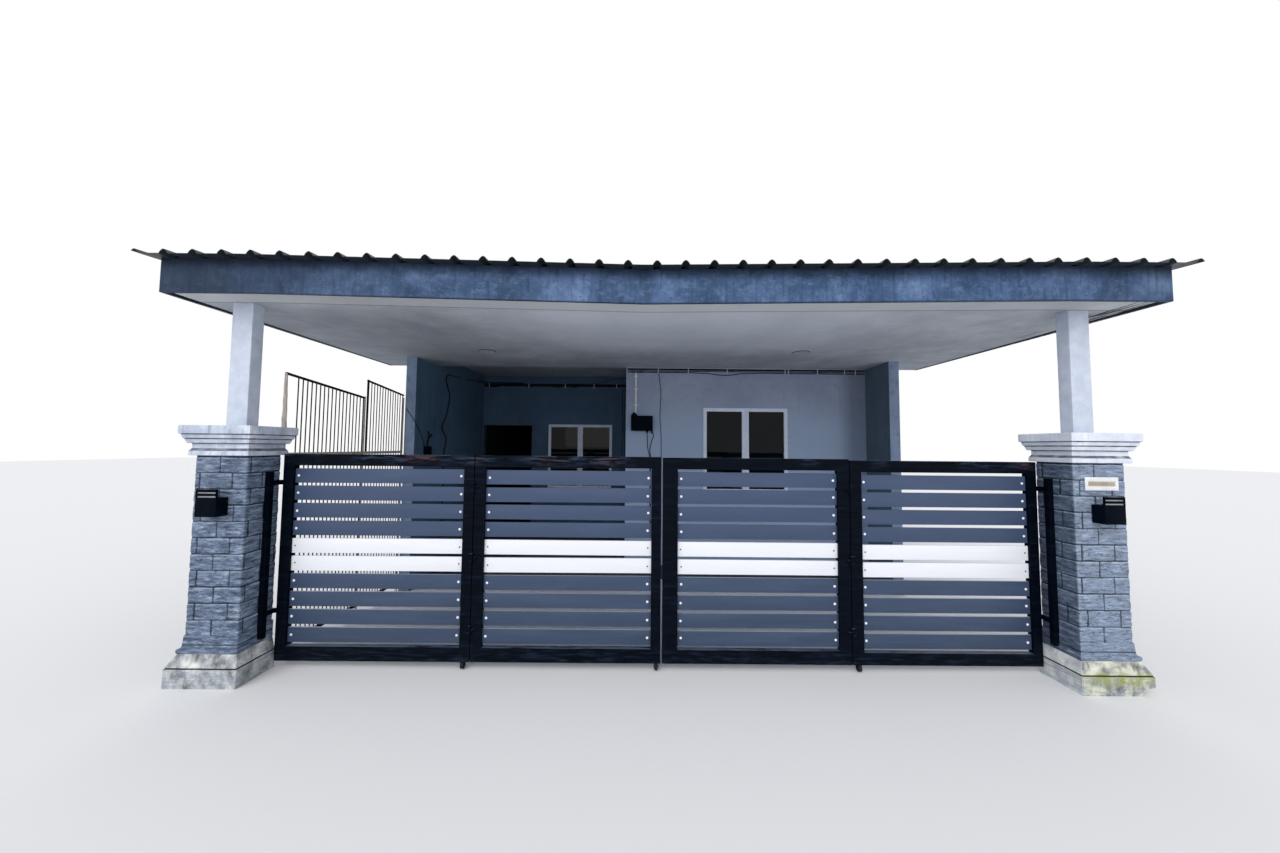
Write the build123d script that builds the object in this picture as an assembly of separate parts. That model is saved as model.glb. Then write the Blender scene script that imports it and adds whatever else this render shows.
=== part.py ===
import os
from math import radians, tan
from build123d import *

# All sizes are millimetres. +Z is up, the street lies at -Y and the gate's street face is y = 0.
# The scale is the gate's: its top is 1800 above the drive.

# folding gate
gateMid = 26
leafPitch = 1628
foldGap = 8
centreGap = 14
leafDepth = 50
leafFoot = 70
leafHead = 1800
outerReach = (32, 0)
leafLifts = (20, 18, 13, 2)
stileWidths = ((89, 86), (92, 83), (130, 101), (98, 77))
railTube = 100
boardHigh = 125
boardCount = 10
whiteRows = (4, 5)
boardSet = 20
boardDepth = 18
hingeHeights = (330, 935, 1540)
hingeHalf = 45
knuckleHalf = 15
knuckleRadius = 8
foldAxisOut = 14
flapRun = 32
flapSet = 5
pivotHeights = (470, 1570)
pivotOut = 20
pivotBack = 45
pivotRadius = 11
armHalf = 20
armThick = 10
armSet = 8
lugHigh = 25
lugSet = 7
lugLap = 2
runGap = 0.3
wheelRadius = 31
wheelWide = 24
wheelLift = 6
wheelInset = 64
centreWheelInset = 36
forkGap = 3
forkThick = 4
forkHalf = 14
axleRadius = 5

# gate pillars, their feet and caps; a foot's moulding gives its outreach as (outer, inner, front),
# and a cap's band is (low, high, outreach at low, outreach at high)
pillarInner = 3330
pillarWide = 428
pillarFront = -250
pillarRear = 60
plinthHead = 150
plinthOut = (108, 40, 40)
chamferHead = 250
chamferOut = ((105, 38, 38), (40, 9, 9))
ledgeHead = 285
ledgeOut = (48, 14, 14)
skirtHead = 388
skirtOut = ((16, 6, 6), (3, 2, 2))
rearOut = -8
shaftHead = 1807
capBands = ((0, 40, 29, 29), (40, 62, 27, 15), (62, 98, 15, 15), (98, 135, 37, 47), (135, 172, 53, 62),
            (172, 242, 73, 73))
capHead = shaftHead + capBands[-1][1]
columnMid = 3491
columnWide = 170
columnDeep = 106
columnY = -148

# tube posts that carry the gate
postSize = 40
postFront = -90
postHead = 1668

# porch roof; its front edge hangs lower at the splice of the fascia than at its sides
soffitFoot = 3078
soffitThick = 15
sag = 56
spliceX = -140
fasciaFront = -464
fasciaThick = 24
fasciaLeft = -3880
fasciaRight = 3941
fasciaHigh = 253
fasciaDrop = 14
eaveOut = 96
leftEaveOut = 115
rightEaveOut = 124
sheetThick = 3
sheetSeat = 0.4
ribPitch = 217
porchPitches = (217.8, 215.3)
porchPitchRun = 18
firstRibIn = 22
ribHigh = 34
ribCrest = 15
ribSpread = 32
roofSlope = tan(radians(5))
lightRadius = 105
lightProud = 8
lightInset = 2
lights = ((-2058, 1404), (1778, 1326))

# house
wallInner = 3165
wallThick = 135
finFront = 1840
roomFront = 2407
innerWall = 100
roomLeft = -376
recessBack = 4180
rearFace = 10400
floorHigh = 200
ceilingFoot = soffitFoot + 167
ceilingThick = 15
headerThick = 12
openingHead = 2320
doorWide = 964
doorLining = 25
windowFrame = 50
windowSet = 8
windowDeep = 60
glassThick = 6
roomWindow = (766, 2006, 1250, 2487)
recessWindow = (-1909, -697, 1110, openingHead)
mainLap = 77
mainLift = 52
mainSideOut = 40
rearEaveOut = 300
ridgeGap = 4
capRun = 190

# fittings
meterBox = (-298, 18, 2141, 2358)
meterDeep = 110
meterGable = ((-300, 0), (-256, 54), (-206, 14), (-206, 0))
conduitX = -232
conduitRadius = 14
conduitHead = soffitFoot - 83
wallBox = (2075, 2190, 1755, 1888)
wallBoxDeep = 60
hookOut = 45
hookRadius = 8
hookLap = 5
hookStem = ((2105, 0), (2092, 70), (2140, 138), (2104, 208))
hookArm = ((2132, 122), (2204, 160))

# cables clipped to the walls: (radius, points), each point as x and its depth below the porch ceiling
cableEnd = 20
roomCables = (
    (12, ((roomLeft + cableEnd, 22), (400, 23), (1700, 24), (wallInner - cableEnd, 22))),
    (9, ((roomLeft + cableEnd, 47), (150, 51), (900, 47), (wallInner - cableEnd, 50))),
    (6, ((roomLeft + cableEnd, 69), (560, 70), (830, 80), (1090, 112), (1340, 75), (1600, 68),
         (wallInner - cableEnd, 72))),
    (4, ((104, 80), (142, 372), (124, 718), (145, 1013), (148, 1328), (150, 2478))),
    (5, ((-62, 940), (-55, 1173), (-37, 1248), (-16, 1338), (-12, 2478))),
    (5, ((12, 941), (38, 997), (-9, 1135), (-23, 1228), (-3, 1338), (1, 2478))),
)
recessCables = (
    (12, ((roomLeft - cableEnd, -8), (-1500, -6), (cableEnd - wallInner, -9))),
    (12, ((roomLeft - cableEnd, 19), (-1900, 20), (cableEnd - wallInner, 17))),
    (9, ((roomLeft - cableEnd, 44), (-1300, 42), (cableEnd - wallInner, 42))),
    (4, ((roomLeft - cableEnd, -145), (-640, -130), (-940, -29), (-1500, -25))),
    (5, ((-505, 60), (-500, 615), (-508, 1331), (-505, 2478))),
    (5, ((-457, 60), (-470, 678), (-455, 1330), (-460, 2478))),
)
sideCableRadius = 8
sideCable = ((3663, 12), (3020, 56), (2690, 80), (2640, 158), (2672, 228), (2786, 385), (2764, 488),
             (2701, 706), (2550, 893), (2600, 968), (2712, 1042), (2706, 1128), (2636, 1322), (2650, 2478))
sideCableStart = ((-2400, -29), (-2900, -36))
sideCableCorner = -46
finWireRadius = 4
finWireSeat = 5
finWireEnd = (-3286, 2395)
finWireCorner = 2212
finWireRun = ((1976, 2075), (2090, 1892))
finWireBend = 10
cornerShare = 0.45
lampFoot = 1330
lampHigh = 145
lampWide = 164
lampDeep = 95
lampOut = 220
louvreHigh = 70
louvreDeep = 14
louvreCheek = 8
louvreSlots = ((6, 18), (36, 48))
letterInset = 70
letterWide = 268
letterFoot = 1586
letterHigh = 107
letterDeep = 8
letterRim = 24
letterSlot = 36

# side fence: (front, height at front, rear, height at rear) of each panel's top rail
fenceX = -3315
fencePost = 40
fenceHead = 2534
midPostHead = 2454
fenceRail = 30
fenceBar = 20
railHeights = (120, 1812)
fencePanels = ((42, 2547, 1068, 2452), (1112, 2657, 1818, 2577))
rodRadius = 5
rodPitch = 50
capPostY = 42
midPostY = 1068

# sizes that follow from those above
wallOuter = wallInner + wallThick
baySpan = rearFace - roomFront
ridgeY = roomFront + baySpan / 2
rearEave = rearFace + rearEaveOut
sheetFront = fasciaFront - eaveOut
sheetLeft = fasciaLeft - leftEaveOut
sheetRight = fasciaRight + rightEaveOut
sheetFoot = soffitFoot + fasciaHigh + sheetSeat - eaveOut * roofSlope
porchRear = roomFront - 6
sagEnd = wallInner
fasciaFoot = soffitFoot - fasciaDrop


def block(x0, x1, y0, y1, z0, z1):
    return Pos((x0 + x1) / 2, (y0 + y1) / 2, (z0 + z1) / 2) * Box(x1 - x0, y1 - y0, z1 - z0)


def upright(x, y, z0, z1, radius):
    return Pos(x, y, (z0 + z1) / 2) * Cylinder(radius, z1 - z0)


def lying(x0, x1, y, z, radius):
    return Pos((x0 + x1) / 2, y, z) * Rot(0, 90, 0) * Cylinder(radius, x1 - x0)


def sideProfile(x0, x1, points):
    # a shape drawn in y and z as seen from the side, with its thickness along x
    face = make_face(Polyline(*[(x0, y, z) for y, z in points], close=True))
    return extrude(face, amount=x1 - x0, dir=(1, 0, 0))


def band(x0, x1, y0, y1, low, high, outLow, outHigh):
    # one moulding around a pillar; a sloping one is lofted between its lower and upper edge
    if outLow == outHigh:
        return block(x0 - outLow, x1 + outLow, y0 - outLow, y1 + outLow, low, high)
    mid = ((x0 + x1) / 2, (y0 + y1) / 2)
    wide = x1 - x0
    deep = y1 - y0
    foot = Pos(mid[0], mid[1], low) * Rectangle(wide + 2 * outLow, deep + 2 * outLow)
    head = Pos(mid[0], mid[1], high) * Rectangle(wide + 2 * outHigh, deep + 2 * outHigh)
    return loft([foot.face(), head.face()], ruled=True)


def footBand(side, low, high, outLow, outHigh):
    # a moulding of the pillar's foot, which ends short of the open leaf at the rear
    rear = pillarRear + rearOut
    rings = []
    for z, (outer, inner, front) in ((low, outLow), (high, outHigh)):
        x0, x1 = sorted((side * (pillarInner - inner), side * (pillarInner + pillarWide + outer)))
        y0 = pillarFront - front
        ring = Pos((x0 + x1) / 2, (y0 + rear) / 2, z) * Rectangle(x1 - x0, rear - y0)
        rings.append(ring.face())
    return loft(rings, ruled=True)


def sagAt(x):
    # the drop of the porch's front edge, straight from each side to the splice
    if x < spliceX:
        share = (x + sagEnd) / (spliceX + sagEnd)
    else:
        share = (sagEnd - x) / (sagEnd - spliceX)
    return sag * max(0, share)


def porchPlane(y):
    return sheetFoot + (y - sheetFront) * roofSlope


def mainPlane(y):
    return porchPlane(min(y, 2 * ridgeY - y)) + mainLift


def evenRibs(x0, x1):
    count = round((x1 - x0) / ribPitch)
    return [x0 + (x1 - x0) * index / count for index in range(count + 1)]


def porchRibs(x0, x1):
    # two widths of sheet, the right one with its ribs a little closer
    mids = [x0 + firstRibIn]
    while True:
        mid = mids[-1] + porchPitches[len(mids) > porchPitchRun]
        if mid > x1 - ribCrest:
            return mids
        mids.append(mid)


def ribLine(x0, x1, mids):
    # the sheet's section across the fall: ribs with sloping sides and flat pans, cut off at the sheet's edges
    whole = [(x0 - ribPitch, 0)]
    for mid in mids:
        whole += [(mid - ribSpread, 0), (mid - ribCrest, ribHigh),
                  (mid + ribCrest, ribHigh), (mid + ribSpread, 0)]
    whole.append((x1 + ribPitch, 0))
    line = [point for point in whole if x0 < point[0] < x1]
    for edge, spot in ((x0, 0), (x1, len(line) + 1)):
        for (xa, za), (xb, zb) in zip(whole, whole[1:]):
            if xa <= edge < xb:
                line.insert(spot, (edge, za + (zb - za) * (edge - xa) / (xb - xa)))
    return line


def sheetFace(line, y, foot, drop):
    under = [(x, y, foot + z - drop(x)) for x, z in line]
    over = [(x, y, z + sheetThick) for x, y, z in reversed(under)]
    return make_face(Polyline(*under, *over, close=True))


def ribbedSheet(x0, x1, y0, y1, footAt):
    # the section stands upright and runs straight up the fall of the roof
    face = sheetFace(ribLine(x0, x1, evenRibs(x0, x1)), y0, footAt(y0), lambda x: 0)
    fall = Vector(0, y1 - y0, footAt(y1) - footAt(y0))
    return extrude(face, amount=fall.length, dir=fall.normalized())


def frontLine(foot, y):
    points = [(fasciaLeft, foot), (-sagEnd, foot), (spliceX, foot - sag), (sagEnd, foot), (fasciaRight, foot)]
    return [(x, y, z) for x, z in points]


def cableRun(points, radius, bendMost=1000):
    # a cable clipped along a wall, straight runs joined by arcs as large as the runs allow
    corners = [Vector(*point) for point in points]
    bends = []
    for before, here, after in zip(corners, corners[1:], corners[2:]):
        turn = radians((here - before).get_angle(after - here))
        shorter = min((here - before).length, (after - here).length)
        bends.append(min(bendMost, cornerShare * shorter / tan(turn / 2)))
    path = FilletPolyline(*corners, radius=bends) if bends else Line(*corners)
    ring = Plane(origin=path @ 0, z_dir=path % 0) * Circle(radius)
    return sweep(ring, path=path)


parts = {}

# floor, walls and ceiling
parts["house_floor"] = [block(-wallInner, wallInner, roomFront, rearFace - innerWall, 0, floorHigh)]
wallSide = [
    (finFront, 0),
    (rearFace, 0),
    (rearFace, mainPlane(rearFace)),
    (ridgeY, mainPlane(ridgeY)),
    (roomFront, mainPlane(roomFront)),
    (roomFront, soffitFoot),
    (finFront, soffitFoot),
]
parts["left_party_wall"] = [sideProfile(-wallOuter, -wallInner, wallSide)]
parts["right_party_wall"] = [sideProfile(wallInner, wallOuter, wallSide)]
rearInner = rearFace - innerWall
rearSide = [(rearInner, 0), (rearFace, 0), (rearFace, mainPlane(rearFace)), (rearInner, mainPlane(rearInner))]
parts["rear_wall"] = [sideProfile(-wallInner, wallInner, rearSide)]
x0, x1, z0, z1 = roomWindow
roomWall = block(roomLeft, wallInner, roomFront, roomFront + innerWall, floorHigh, ceilingFoot)
parts["room_front_wall"] = [roomWall - block(x0, x1, roomFront, roomFront + innerWall, z0, z1)]
sideWallRight = roomLeft + innerWall
recessRear = recessBack + innerWall
parts["room_side_wall"] = [
    block(roomLeft, sideWallRight, roomFront + innerWall, recessBack, floorHigh, ceilingFoot)
]
parts["recess_wall_over_door"] = [
    block(-wallInner, sideWallRight, recessBack, recessRear, openingHead, ceilingFoot)
]
x0, x1, z0, z1 = recessWindow
doorRight = doorWide - wallInner
besideDoor = block(doorRight, sideWallRight, recessBack, recessRear, floorHigh, openingHead)
parts["recess_wall_beside_door"] = [besideDoor - block(x0, x1, recessBack, recessRear, z0, z1)]
ceiling = block(-wallInner, wallInner, roomFront, rearInner, ceilingFoot, ceilingFoot + ceilingThick)
header = block(-wallInner, roomLeft, roomFront, roomFront + headerThick, soffitFoot, ceilingFoot)
parts["house_ceiling"] = [ceiling + header]

# main roof
mainSide = wallOuter + mainSideOut
mainFront = roomFront - mainLap
parts["main_roof_front"] = [ribbedSheet(-mainSide, mainSide, mainFront, ridgeY - ridgeGap, mainPlane)]
rearSheet = ribbedSheet(-mainSide, mainSide, 2 * ridgeY - rearEave, ridgeY - ridgeGap, mainPlane)
parts["main_roof_rear"] = [Pos(0, 2 * ridgeY, 0) * Rot(0, 0, 180) * rearSheet]
ridgeTop = mainPlane(ridgeY) + ribHigh + sheetThick
ridgeDrop = capRun * roofSlope
ridgeSide = [
    (ridgeY - capRun, ridgeTop - ridgeDrop),
    (ridgeY, ridgeTop),
    (ridgeY + capRun, ridgeTop - ridgeDrop),
    (ridgeY + capRun, ridgeTop - ridgeDrop + sheetThick),
    (ridgeY, ridgeTop + sheetThick),
    (ridgeY - capRun, ridgeTop - ridgeDrop + sheetThick),
]
parts["ridge_cap"] = [sideProfile(-mainSide, mainSide, ridgeSide)]

# porch roof
sheetLine = ribLine(sheetLeft, sheetRight, porchRibs(sheetLeft, sheetRight))
sheetEdge = sheetFace(sheetLine, sheetFront, porchPlane(sheetFront), sagAt)
sheetBack = sheetFace(sheetLine, porchRear, porchPlane(porchRear), lambda x: 0)
parts["porch_roof_sheet"] = [loft([sheetEdge, sheetBack], ruled=True)]
fasciaHead = soffitFoot + fasciaHigh
fasciaFace = make_face(Polyline(
    *frontLine(fasciaFoot, fasciaFront), *reversed(frontLine(fasciaHead, fasciaFront)), close=True))
parts["front_fascia"] = [extrude(fasciaFace, amount=fasciaThick, dir=(0, 1, 0))]
fasciaRear = fasciaFront + fasciaThick
sideFascia = [
    (fasciaRear, fasciaFoot),
    (roomFront, soffitFoot),
    (roomFront, porchPlane(porchRear)),
    (porchRear, porchPlane(porchRear)),
    (fasciaRear, porchPlane(fasciaRear)),
]
soffitHead = soffitFoot + soffitThick
returnFront = roomFront - fasciaThick
returnHead = porchPlane(returnFront)
parts["side_fascias"] = [
    sideProfile(fasciaLeft, fasciaLeft + fasciaThick, sideFascia)
    + block(fasciaLeft, -wallOuter, returnFront, roomFront, soffitHead, returnHead),
    sideProfile(fasciaRight - fasciaThick, fasciaRight, sideFascia)
    + block(wallOuter, fasciaRight, returnFront, roomFront, soffitHead, returnHead),
]
soffitLeft = fasciaLeft + fasciaThick
soffitRight = fasciaRight - fasciaThick
soffitFaces = []
for y, drop in ((fasciaRear, sag), (roomFront, 0)):
    under = [(soffitLeft, 0), (-sagEnd, 0), (spliceX, drop), (sagEnd, 0), (soffitRight, 0)]
    low = [(x, y, soffitFoot - fall) for x, fall in under]
    high = [(x, y, z + soffitThick) for x, y, z in reversed(low)]
    soffitFaces.append(make_face(Polyline(*low, *high, close=True)))
parts["porch_soffit"] = [loft(soffitFaces, ruled=True)]
soffitDepth = roomFront - fasciaRear
soffitLights = []
for x, y in lights:
    under = soffitFoot - sagAt(x) * (roomFront - y) / soffitDepth
    disc = upright(x, y, under - lightProud, under + lightInset, lightRadius)
    soffitLights.append(disc - parts["porch_soffit"][0])
parts["soffit_lights"] = soffitLights

# pillars with their feet and caps, the columns on them and the posts that carry the gate
parts["gate_pillars"] = []
parts["pillar_bases"] = []
parts["pillar_caps"] = []
parts["porch_columns"] = []
parts["gate_posts"] = []
parts["pillar_lamps"] = []
pivotXs = []
for side in (-1, 1):
    x0, x1 = sorted((side * pillarInner, side * (pillarInner + pillarWide)))
    post0, post1 = sorted((side * pillarInner, side * (pillarInner - postSize)))
    postRear = postFront + postSize
    tubePost = block(post0, post1, postFront, postRear, ledgeHead, postHead)
    shaft = block(x0, x1, pillarFront, pillarRear, chamferHead, shaftHead)
    shaft += footBand(side, chamferHead, ledgeHead, ledgeOut, ledgeOut)
    shaft += footBand(side, ledgeHead, skirtHead, *skirtOut)
    parts["gate_pillars"].append(shaft - tubePost)
    plinth = footBand(side, 0, plinthHead, plinthOut, plinthOut)
    plinth += footBand(side, plinthHead, chamferHead, *chamferOut)
    plinth += block(x0, x1, pillarFront, pillarRear, 0, chamferHead)
    parts["pillar_bases"].append(plinth)
    cap = None
    for low, high, outLow, outHigh in capBands:
        item = band(x0, x1, pillarFront, pillarRear, shaftHead + low, shaftHead + high, outLow, outHigh)
        cap = item if cap is None else cap + item
    parts["pillar_caps"].append(cap)
    mid = side * columnMid
    parts["porch_columns"].append(
        block(mid - columnWide / 2, mid + columnWide / 2, columnY - columnDeep / 2, columnY + columnDeep / 2,
              capHead, soffitFoot))
    pivotX = gateMid + side * (2 * leafPitch - foldGap / 2 + outerReach[side > 0] + pivotOut)
    pivotXs.append(pivotX)
    armOuter = side * (pillarInner - armSet)
    arm0, arm1 = sorted((armOuter, armOuter - side * armThick))
    reach0, reach1 = sorted((armOuter, pivotX))
    for height in pivotHeights:
        low = height - armHalf
        high = height + armHalf
        tubePost += block(arm0, arm1, postRear, pivotBack + armThick / 2, low, high)
        tubePost += block(reach0, reach1, pivotBack - armThick / 2, pivotBack + armThick / 2, low, high)
        tubePost += upright(pivotX, pivotBack, low, high, pivotRadius)
    parts["gate_posts"].append(tubePost)
    lampMid = side * (pillarInner + lampOut)
    lamp0 = lampMid - lampWide / 2
    lamp1 = lampMid + lampWide / 2
    lampFront = pillarFront - lampDeep
    lampHead = lampFoot + lampHigh
    louvreRear = lampFront + louvreDeep
    lamp = block(lamp0, lamp1, lampFront, pillarFront, lampFoot, lampHead)
    lamp += block(lamp0, lamp1, lampFront, louvreRear, lampHead, lampHead + louvreHigh)
    for low, high in louvreSlots:
        lamp -= block(lamp0 + louvreCheek, lamp1 - louvreCheek, lampFront, louvreRear,
                      lampHead + low, lampHead + high)
    parts["pillar_lamps"].append(lamp)

# the four leaves of the folding gate, named from the left
leafNames = ("outer_left_leaf", "inner_left_leaf", "inner_right_leaf", "outer_right_leaf")
boardGap = (leafHead - leafFoot - 2 * railTube - boardCount * boardHigh) / (boardCount + 1)
wheelZ = wheelLift + wheelRadius
leafMidY = leafDepth / 2


def wheelAt(x):
    tyre = lying(x - wheelWide / 2, x + wheelWide / 2, leafMidY, wheelZ, wheelRadius)
    half = wheelWide / 2 + forkGap
    return tyre + lying(x - half, x + half, leafMidY, wheelZ, axleRadius)


def forkAt(x):
    half = wheelWide / 2 + forkGap
    low = wheelZ - forkHalf
    left = block(x - half - forkThick, x - half, leafMidY - forkHalf, leafMidY + forkHalf, low, leafFoot)
    right = block(x + half, x + half + forkThick, leafMidY - forkHalf, leafMidY + forkHalf, low, leafFoot)
    return left + right


for index, name in enumerate(leafNames):
    side = -1 if index < 2 else 1
    outer = index in (0, 3)
    left = gateMid + (index - 2) * leafPitch + (centreGap if index == 2 else foldGap) / 2
    right = gateMid + (index - 1) * leafPitch - (centreGap if index == 1 else foldGap) / 2
    if outer:
        left -= outerReach[0] * (side < 0)
        right += outerReach[1] * (side > 0)
    lift = leafLifts[index]
    inner = (left + stileWidths[index][0], right - stileWidths[index][1])
    frame = block(left, right, 0, leafDepth, leafFoot, leafHead + lift)
    frame -= block(*inner, 0, leafDepth, leafFoot + railTube + lift, leafHead - railTube + lift)
    foldX = gateMid + side * leafPitch
    flap0, flap1 = sorted((foldX, foldX + (side if outer else -side) * flapRun))
    if outer:
        knuckles = ((-hingeHalf, -knuckleHalf), (knuckleHalf, hingeHalf))
    else:
        knuckles = ((runGap - knuckleHalf, knuckleHalf - runGap),)
    for height in hingeHeights:
        for low, high in knuckles:
            frame += block(flap0, flap1, flapSet - foldAxisOut, 0, height + low, height + high)
            frame += upright(foldX, -foldAxisOut, height + low, height + high, knuckleRadius)
    if outer:
        pivotX = pivotXs[side > 0]
        lug0, lug1 = sorted((pivotX, pivotX - side * (pivotOut + lugLap)))
        for height in pivotHeights:
            low = height + armHalf + runGap
            frame += block(lug0, lug1, pivotBack - lugSet, leafDepth, low, low + lugHigh)
            frame += upright(pivotX, pivotBack, low, low + lugHigh, pivotRadius)
        wheelX = foldX + side * wheelInset
        parts[("left" if side < 0 else "right") + "_gate_wheel"] = [wheelAt(wheelX)]
        frame += forkAt(wheelX)
    if index == 1:
        wheelX = right - centreWheelInset
        parts["centre_gate_wheel"] = [wheelAt(wheelX)]
        frame += forkAt(wheelX)
    parts[name + "_frame"] = [frame]
    grey = []
    white = []
    for row in range(boardCount):
        head = leafHead + lift - railTube - boardGap - row * (boardHigh + boardGap)
        board = block(*inner, boardSet, boardSet + boardDepth, head - boardHigh, head)
        (white if row in whiteRows else grey).append(board)
    parts[name + "_grey_boards"] = grey
    parts[name + "_white_boards"] = white

# window frames with two lights each, their glass, and the lining of the doorway
parts["window_frames"] = []
parts["window_glass"] = []
for (x0, x1, z0, z1), wallY in ((roomWindow, roomFront), (recessWindow, recessBack)):
    front = wallY - windowSet
    rear = front + windowDeep
    middle = (x0 + x1) / 2
    paneY = (front + rear) / 2
    frame = block(x0, x1, front, rear, z0, z1)
    for g0, g1 in ((x0 + windowFrame, middle - windowFrame), (middle + windowFrame, x1 - windowFrame)):
        low = z0 + windowFrame
        high = z1 - windowFrame
        frame -= block(g0, g1, front, rear, low, high)
        parts["window_glass"].append(block(g0, g1, paneY - glassThick / 2, paneY + glassThick / 2, low, high))
    parts["window_frames"].append(frame)
lining = block(-wallInner, doorRight, recessBack - windowSet, recessRear, floorHigh, openingHead)
clearDoor = block(doorLining - wallInner, doorRight - doorLining, recessBack - windowSet, recessRear,
                  floorHigh, openingHead - doorLining)
parts["door_lining"] = [lining - clearDoor]

# boxes and cables on the walls, and the letter plate
x0, x1, z0, z1 = meterBox
meterFront = roomFront - meterDeep
meter = block(x0, x1, meterFront, roomFront, z0, z1)
gable = make_face(Polyline(*[(x, meterFront, z1 + rise) for x, rise in meterGable], close=True))
meter += extrude(gable, amount=meterDeep, dir=(0, 1, 0))
meter += upright(conduitX, roomFront - conduitRadius, z1, conduitHead, conduitRadius)
y0, y1, z0, z1 = wallBox
sideBox = block(-wallInner, wallBoxDeep - wallInner, y0, y1, z0, z1)
for line in (hookStem, hookArm):
    start = -hookLap if line is hookStem else 0
    sideBox += cableRun([(hookOut - wallInner, y, z1 + rise + start) for y, rise in line], hookRadius)
parts["wall_boxes"] = [meter, sideBox]
cables = []
for wallY, runs in ((roomFront, roomCables), (recessBack, recessCables)):
    for radius, points in runs:
        cables.append(cableRun([(x, wallY - radius, soffitFoot - down) for x, down in points], radius))
sideCableX = sideCableRadius - wallInner
sideCableY = recessBack - sideCableRadius
sideRun = [(x, sideCableY, soffitFoot - down) for x, down in sideCableStart]
sideRun.append((sideCableX, sideCableY, soffitFoot - sideCableCorner))
sideRun += [(sideCableX, y, soffitFoot - down) for y, down in sideCable]
cables.append(cableRun(sideRun, sideCableRadius))
finWireX = finWireRadius - wallInner
finWireY = finFront - finWireRadius
finRun = [(finWireEnd[0], finWireY, finWireEnd[1]), (finWireX + finWireSeat, finWireY - finWireSeat, finWireCorner)]
cables.append(cableRun(finRun + [(finWireX, y, z) for y, z in finWireRun], finWireRadius, finWireBend))
parts["wall_cables"] = cables
letter0 = pillarInner + pillarWide - letterInset - letterWide
letter1 = letter0 + letterWide
letterHead = letterFoot + letterHigh
plate = block(letter0, letter1, pillarFront - letterDeep, pillarFront, letterFoot, letterHead)
slotFoot = letterFoot + (letterHigh - letterSlot) / 2
slot = block(letter0 + letterRim, letter1 - letterRim, pillarFront - letterDeep, pillarFront - letterDeep / 2,
             slotFoot, slotFoot + letterSlot)
parts["letter_plate"] = [plate - slot]

# side fence: its first post stands on the left pillar's cap, the others on the ground
half = fencePost / 2
bar0 = fenceX - fenceBar / 2
bar1 = fenceX + fenceBar / 2
fenceEnd = finFront - half
fence = block(fenceX - half, fenceX + half, fenceEnd - half, fenceEnd + half, 0, fenceHead)
fence += block(fenceX - half, fenceX + half, midPostY - half, midPostY + half, 0, midPostHead)
fence += block(fenceX - half, fenceX + half, capPostY - half, capPostY + half, capHead, fenceHead)
# the lower rail starts at the pillar, the upper one at the cap's first band
for z, start in zip(railHeights, (pillarRear, pillarRear + capBands[0][2])):
    fence += block(bar0, bar1, start, fenceEnd, z - fenceRail / 2, z + fenceRail / 2)
firstRod = pillarRear + capBands[-1][3] + fencePost
for y0, z0, y1, z1 in fencePanels:
    railLine = [(y0, z0 - fenceRail), (y1, z1 - fenceRail), (y1, z1), (y0, z0)]
    fence += sideProfile(bar0, bar1, railLine)
    start = max(y0 + half, firstRod)
    count = round((y1 - half - start) / rodPitch)
    for index in range(count + 1):
        y = start + (y1 - half - start) * index / count
        head = z0 + (z1 - z0) * (y - y0) / (y1 - y0) - fenceRail / 2
        fence += upright(fenceX, y, railHeights[0], head, rodRadius)
parts["side_fence"] = [fence]

# the origin lies in the middle of the footprint's box, on the ground
originX = (sheetLeft + sheetRight) / 2
originY = (sheetFront + rearEave) / 2
os.makedirs("parts", exist_ok=True)
for name, solids in parts.items():
    placed = [Pos(-originX, -originY, 0) * solid for solid in solids]
    whole = placed[0] if len(placed) == 1 else Compound(children=placed)
    whole.label = name
    export_step(whole, "parts/" + name + ".step")
print("nodes", len(parts), "origin", originX, originY, "pivots", pivotXs, "folds", gateMid, leafPitch)
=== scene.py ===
import math
import random
import bpy
import bmesh
from mathutils import Matrix, Vector, noise


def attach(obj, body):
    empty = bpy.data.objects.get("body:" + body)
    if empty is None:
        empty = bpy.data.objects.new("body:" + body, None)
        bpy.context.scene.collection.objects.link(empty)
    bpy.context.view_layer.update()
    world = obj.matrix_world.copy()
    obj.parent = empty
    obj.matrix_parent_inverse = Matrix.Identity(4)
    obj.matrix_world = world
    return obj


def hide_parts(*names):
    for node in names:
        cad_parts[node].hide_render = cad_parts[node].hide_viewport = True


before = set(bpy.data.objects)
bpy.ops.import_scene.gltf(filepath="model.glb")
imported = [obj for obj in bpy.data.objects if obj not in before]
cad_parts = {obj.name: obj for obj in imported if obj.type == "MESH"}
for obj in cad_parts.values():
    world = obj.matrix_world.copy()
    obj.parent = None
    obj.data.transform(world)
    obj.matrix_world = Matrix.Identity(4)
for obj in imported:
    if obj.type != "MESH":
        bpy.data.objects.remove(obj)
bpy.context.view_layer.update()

# Pieces are in millimetres in the street frame: the gate's street face is y = 0 and the ground is z = 0.
# place() turns them into the model's metres, which the washes of the materials use.
originShift = (35, 5070)


def place(x, y, z):
    return Vector(((x - originShift[0]) / 1000, (y - originShift[1]) / 1000, z / 1000))


# the porch's front edge hangs lower at the fascia's splice than at its sides
dip = dict(drop=56, splice=-140, end=3165)

# camera and light, solved from the photograph

view = dict(
    at=(-175.8, -3508.6, 1906.2),
    forward=(0.00153393, 0.99872846, 0.0503896),
    up=(-0.0086877, -0.05037445, 0.99869261),
    lens=11.311,
    sensor=36,
    reach=200,
)


def addToScene(name, data):
    item = bpy.data.objects.new(name, data)
    bpy.context.scene.collection.objects.link(item)
    return item


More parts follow.
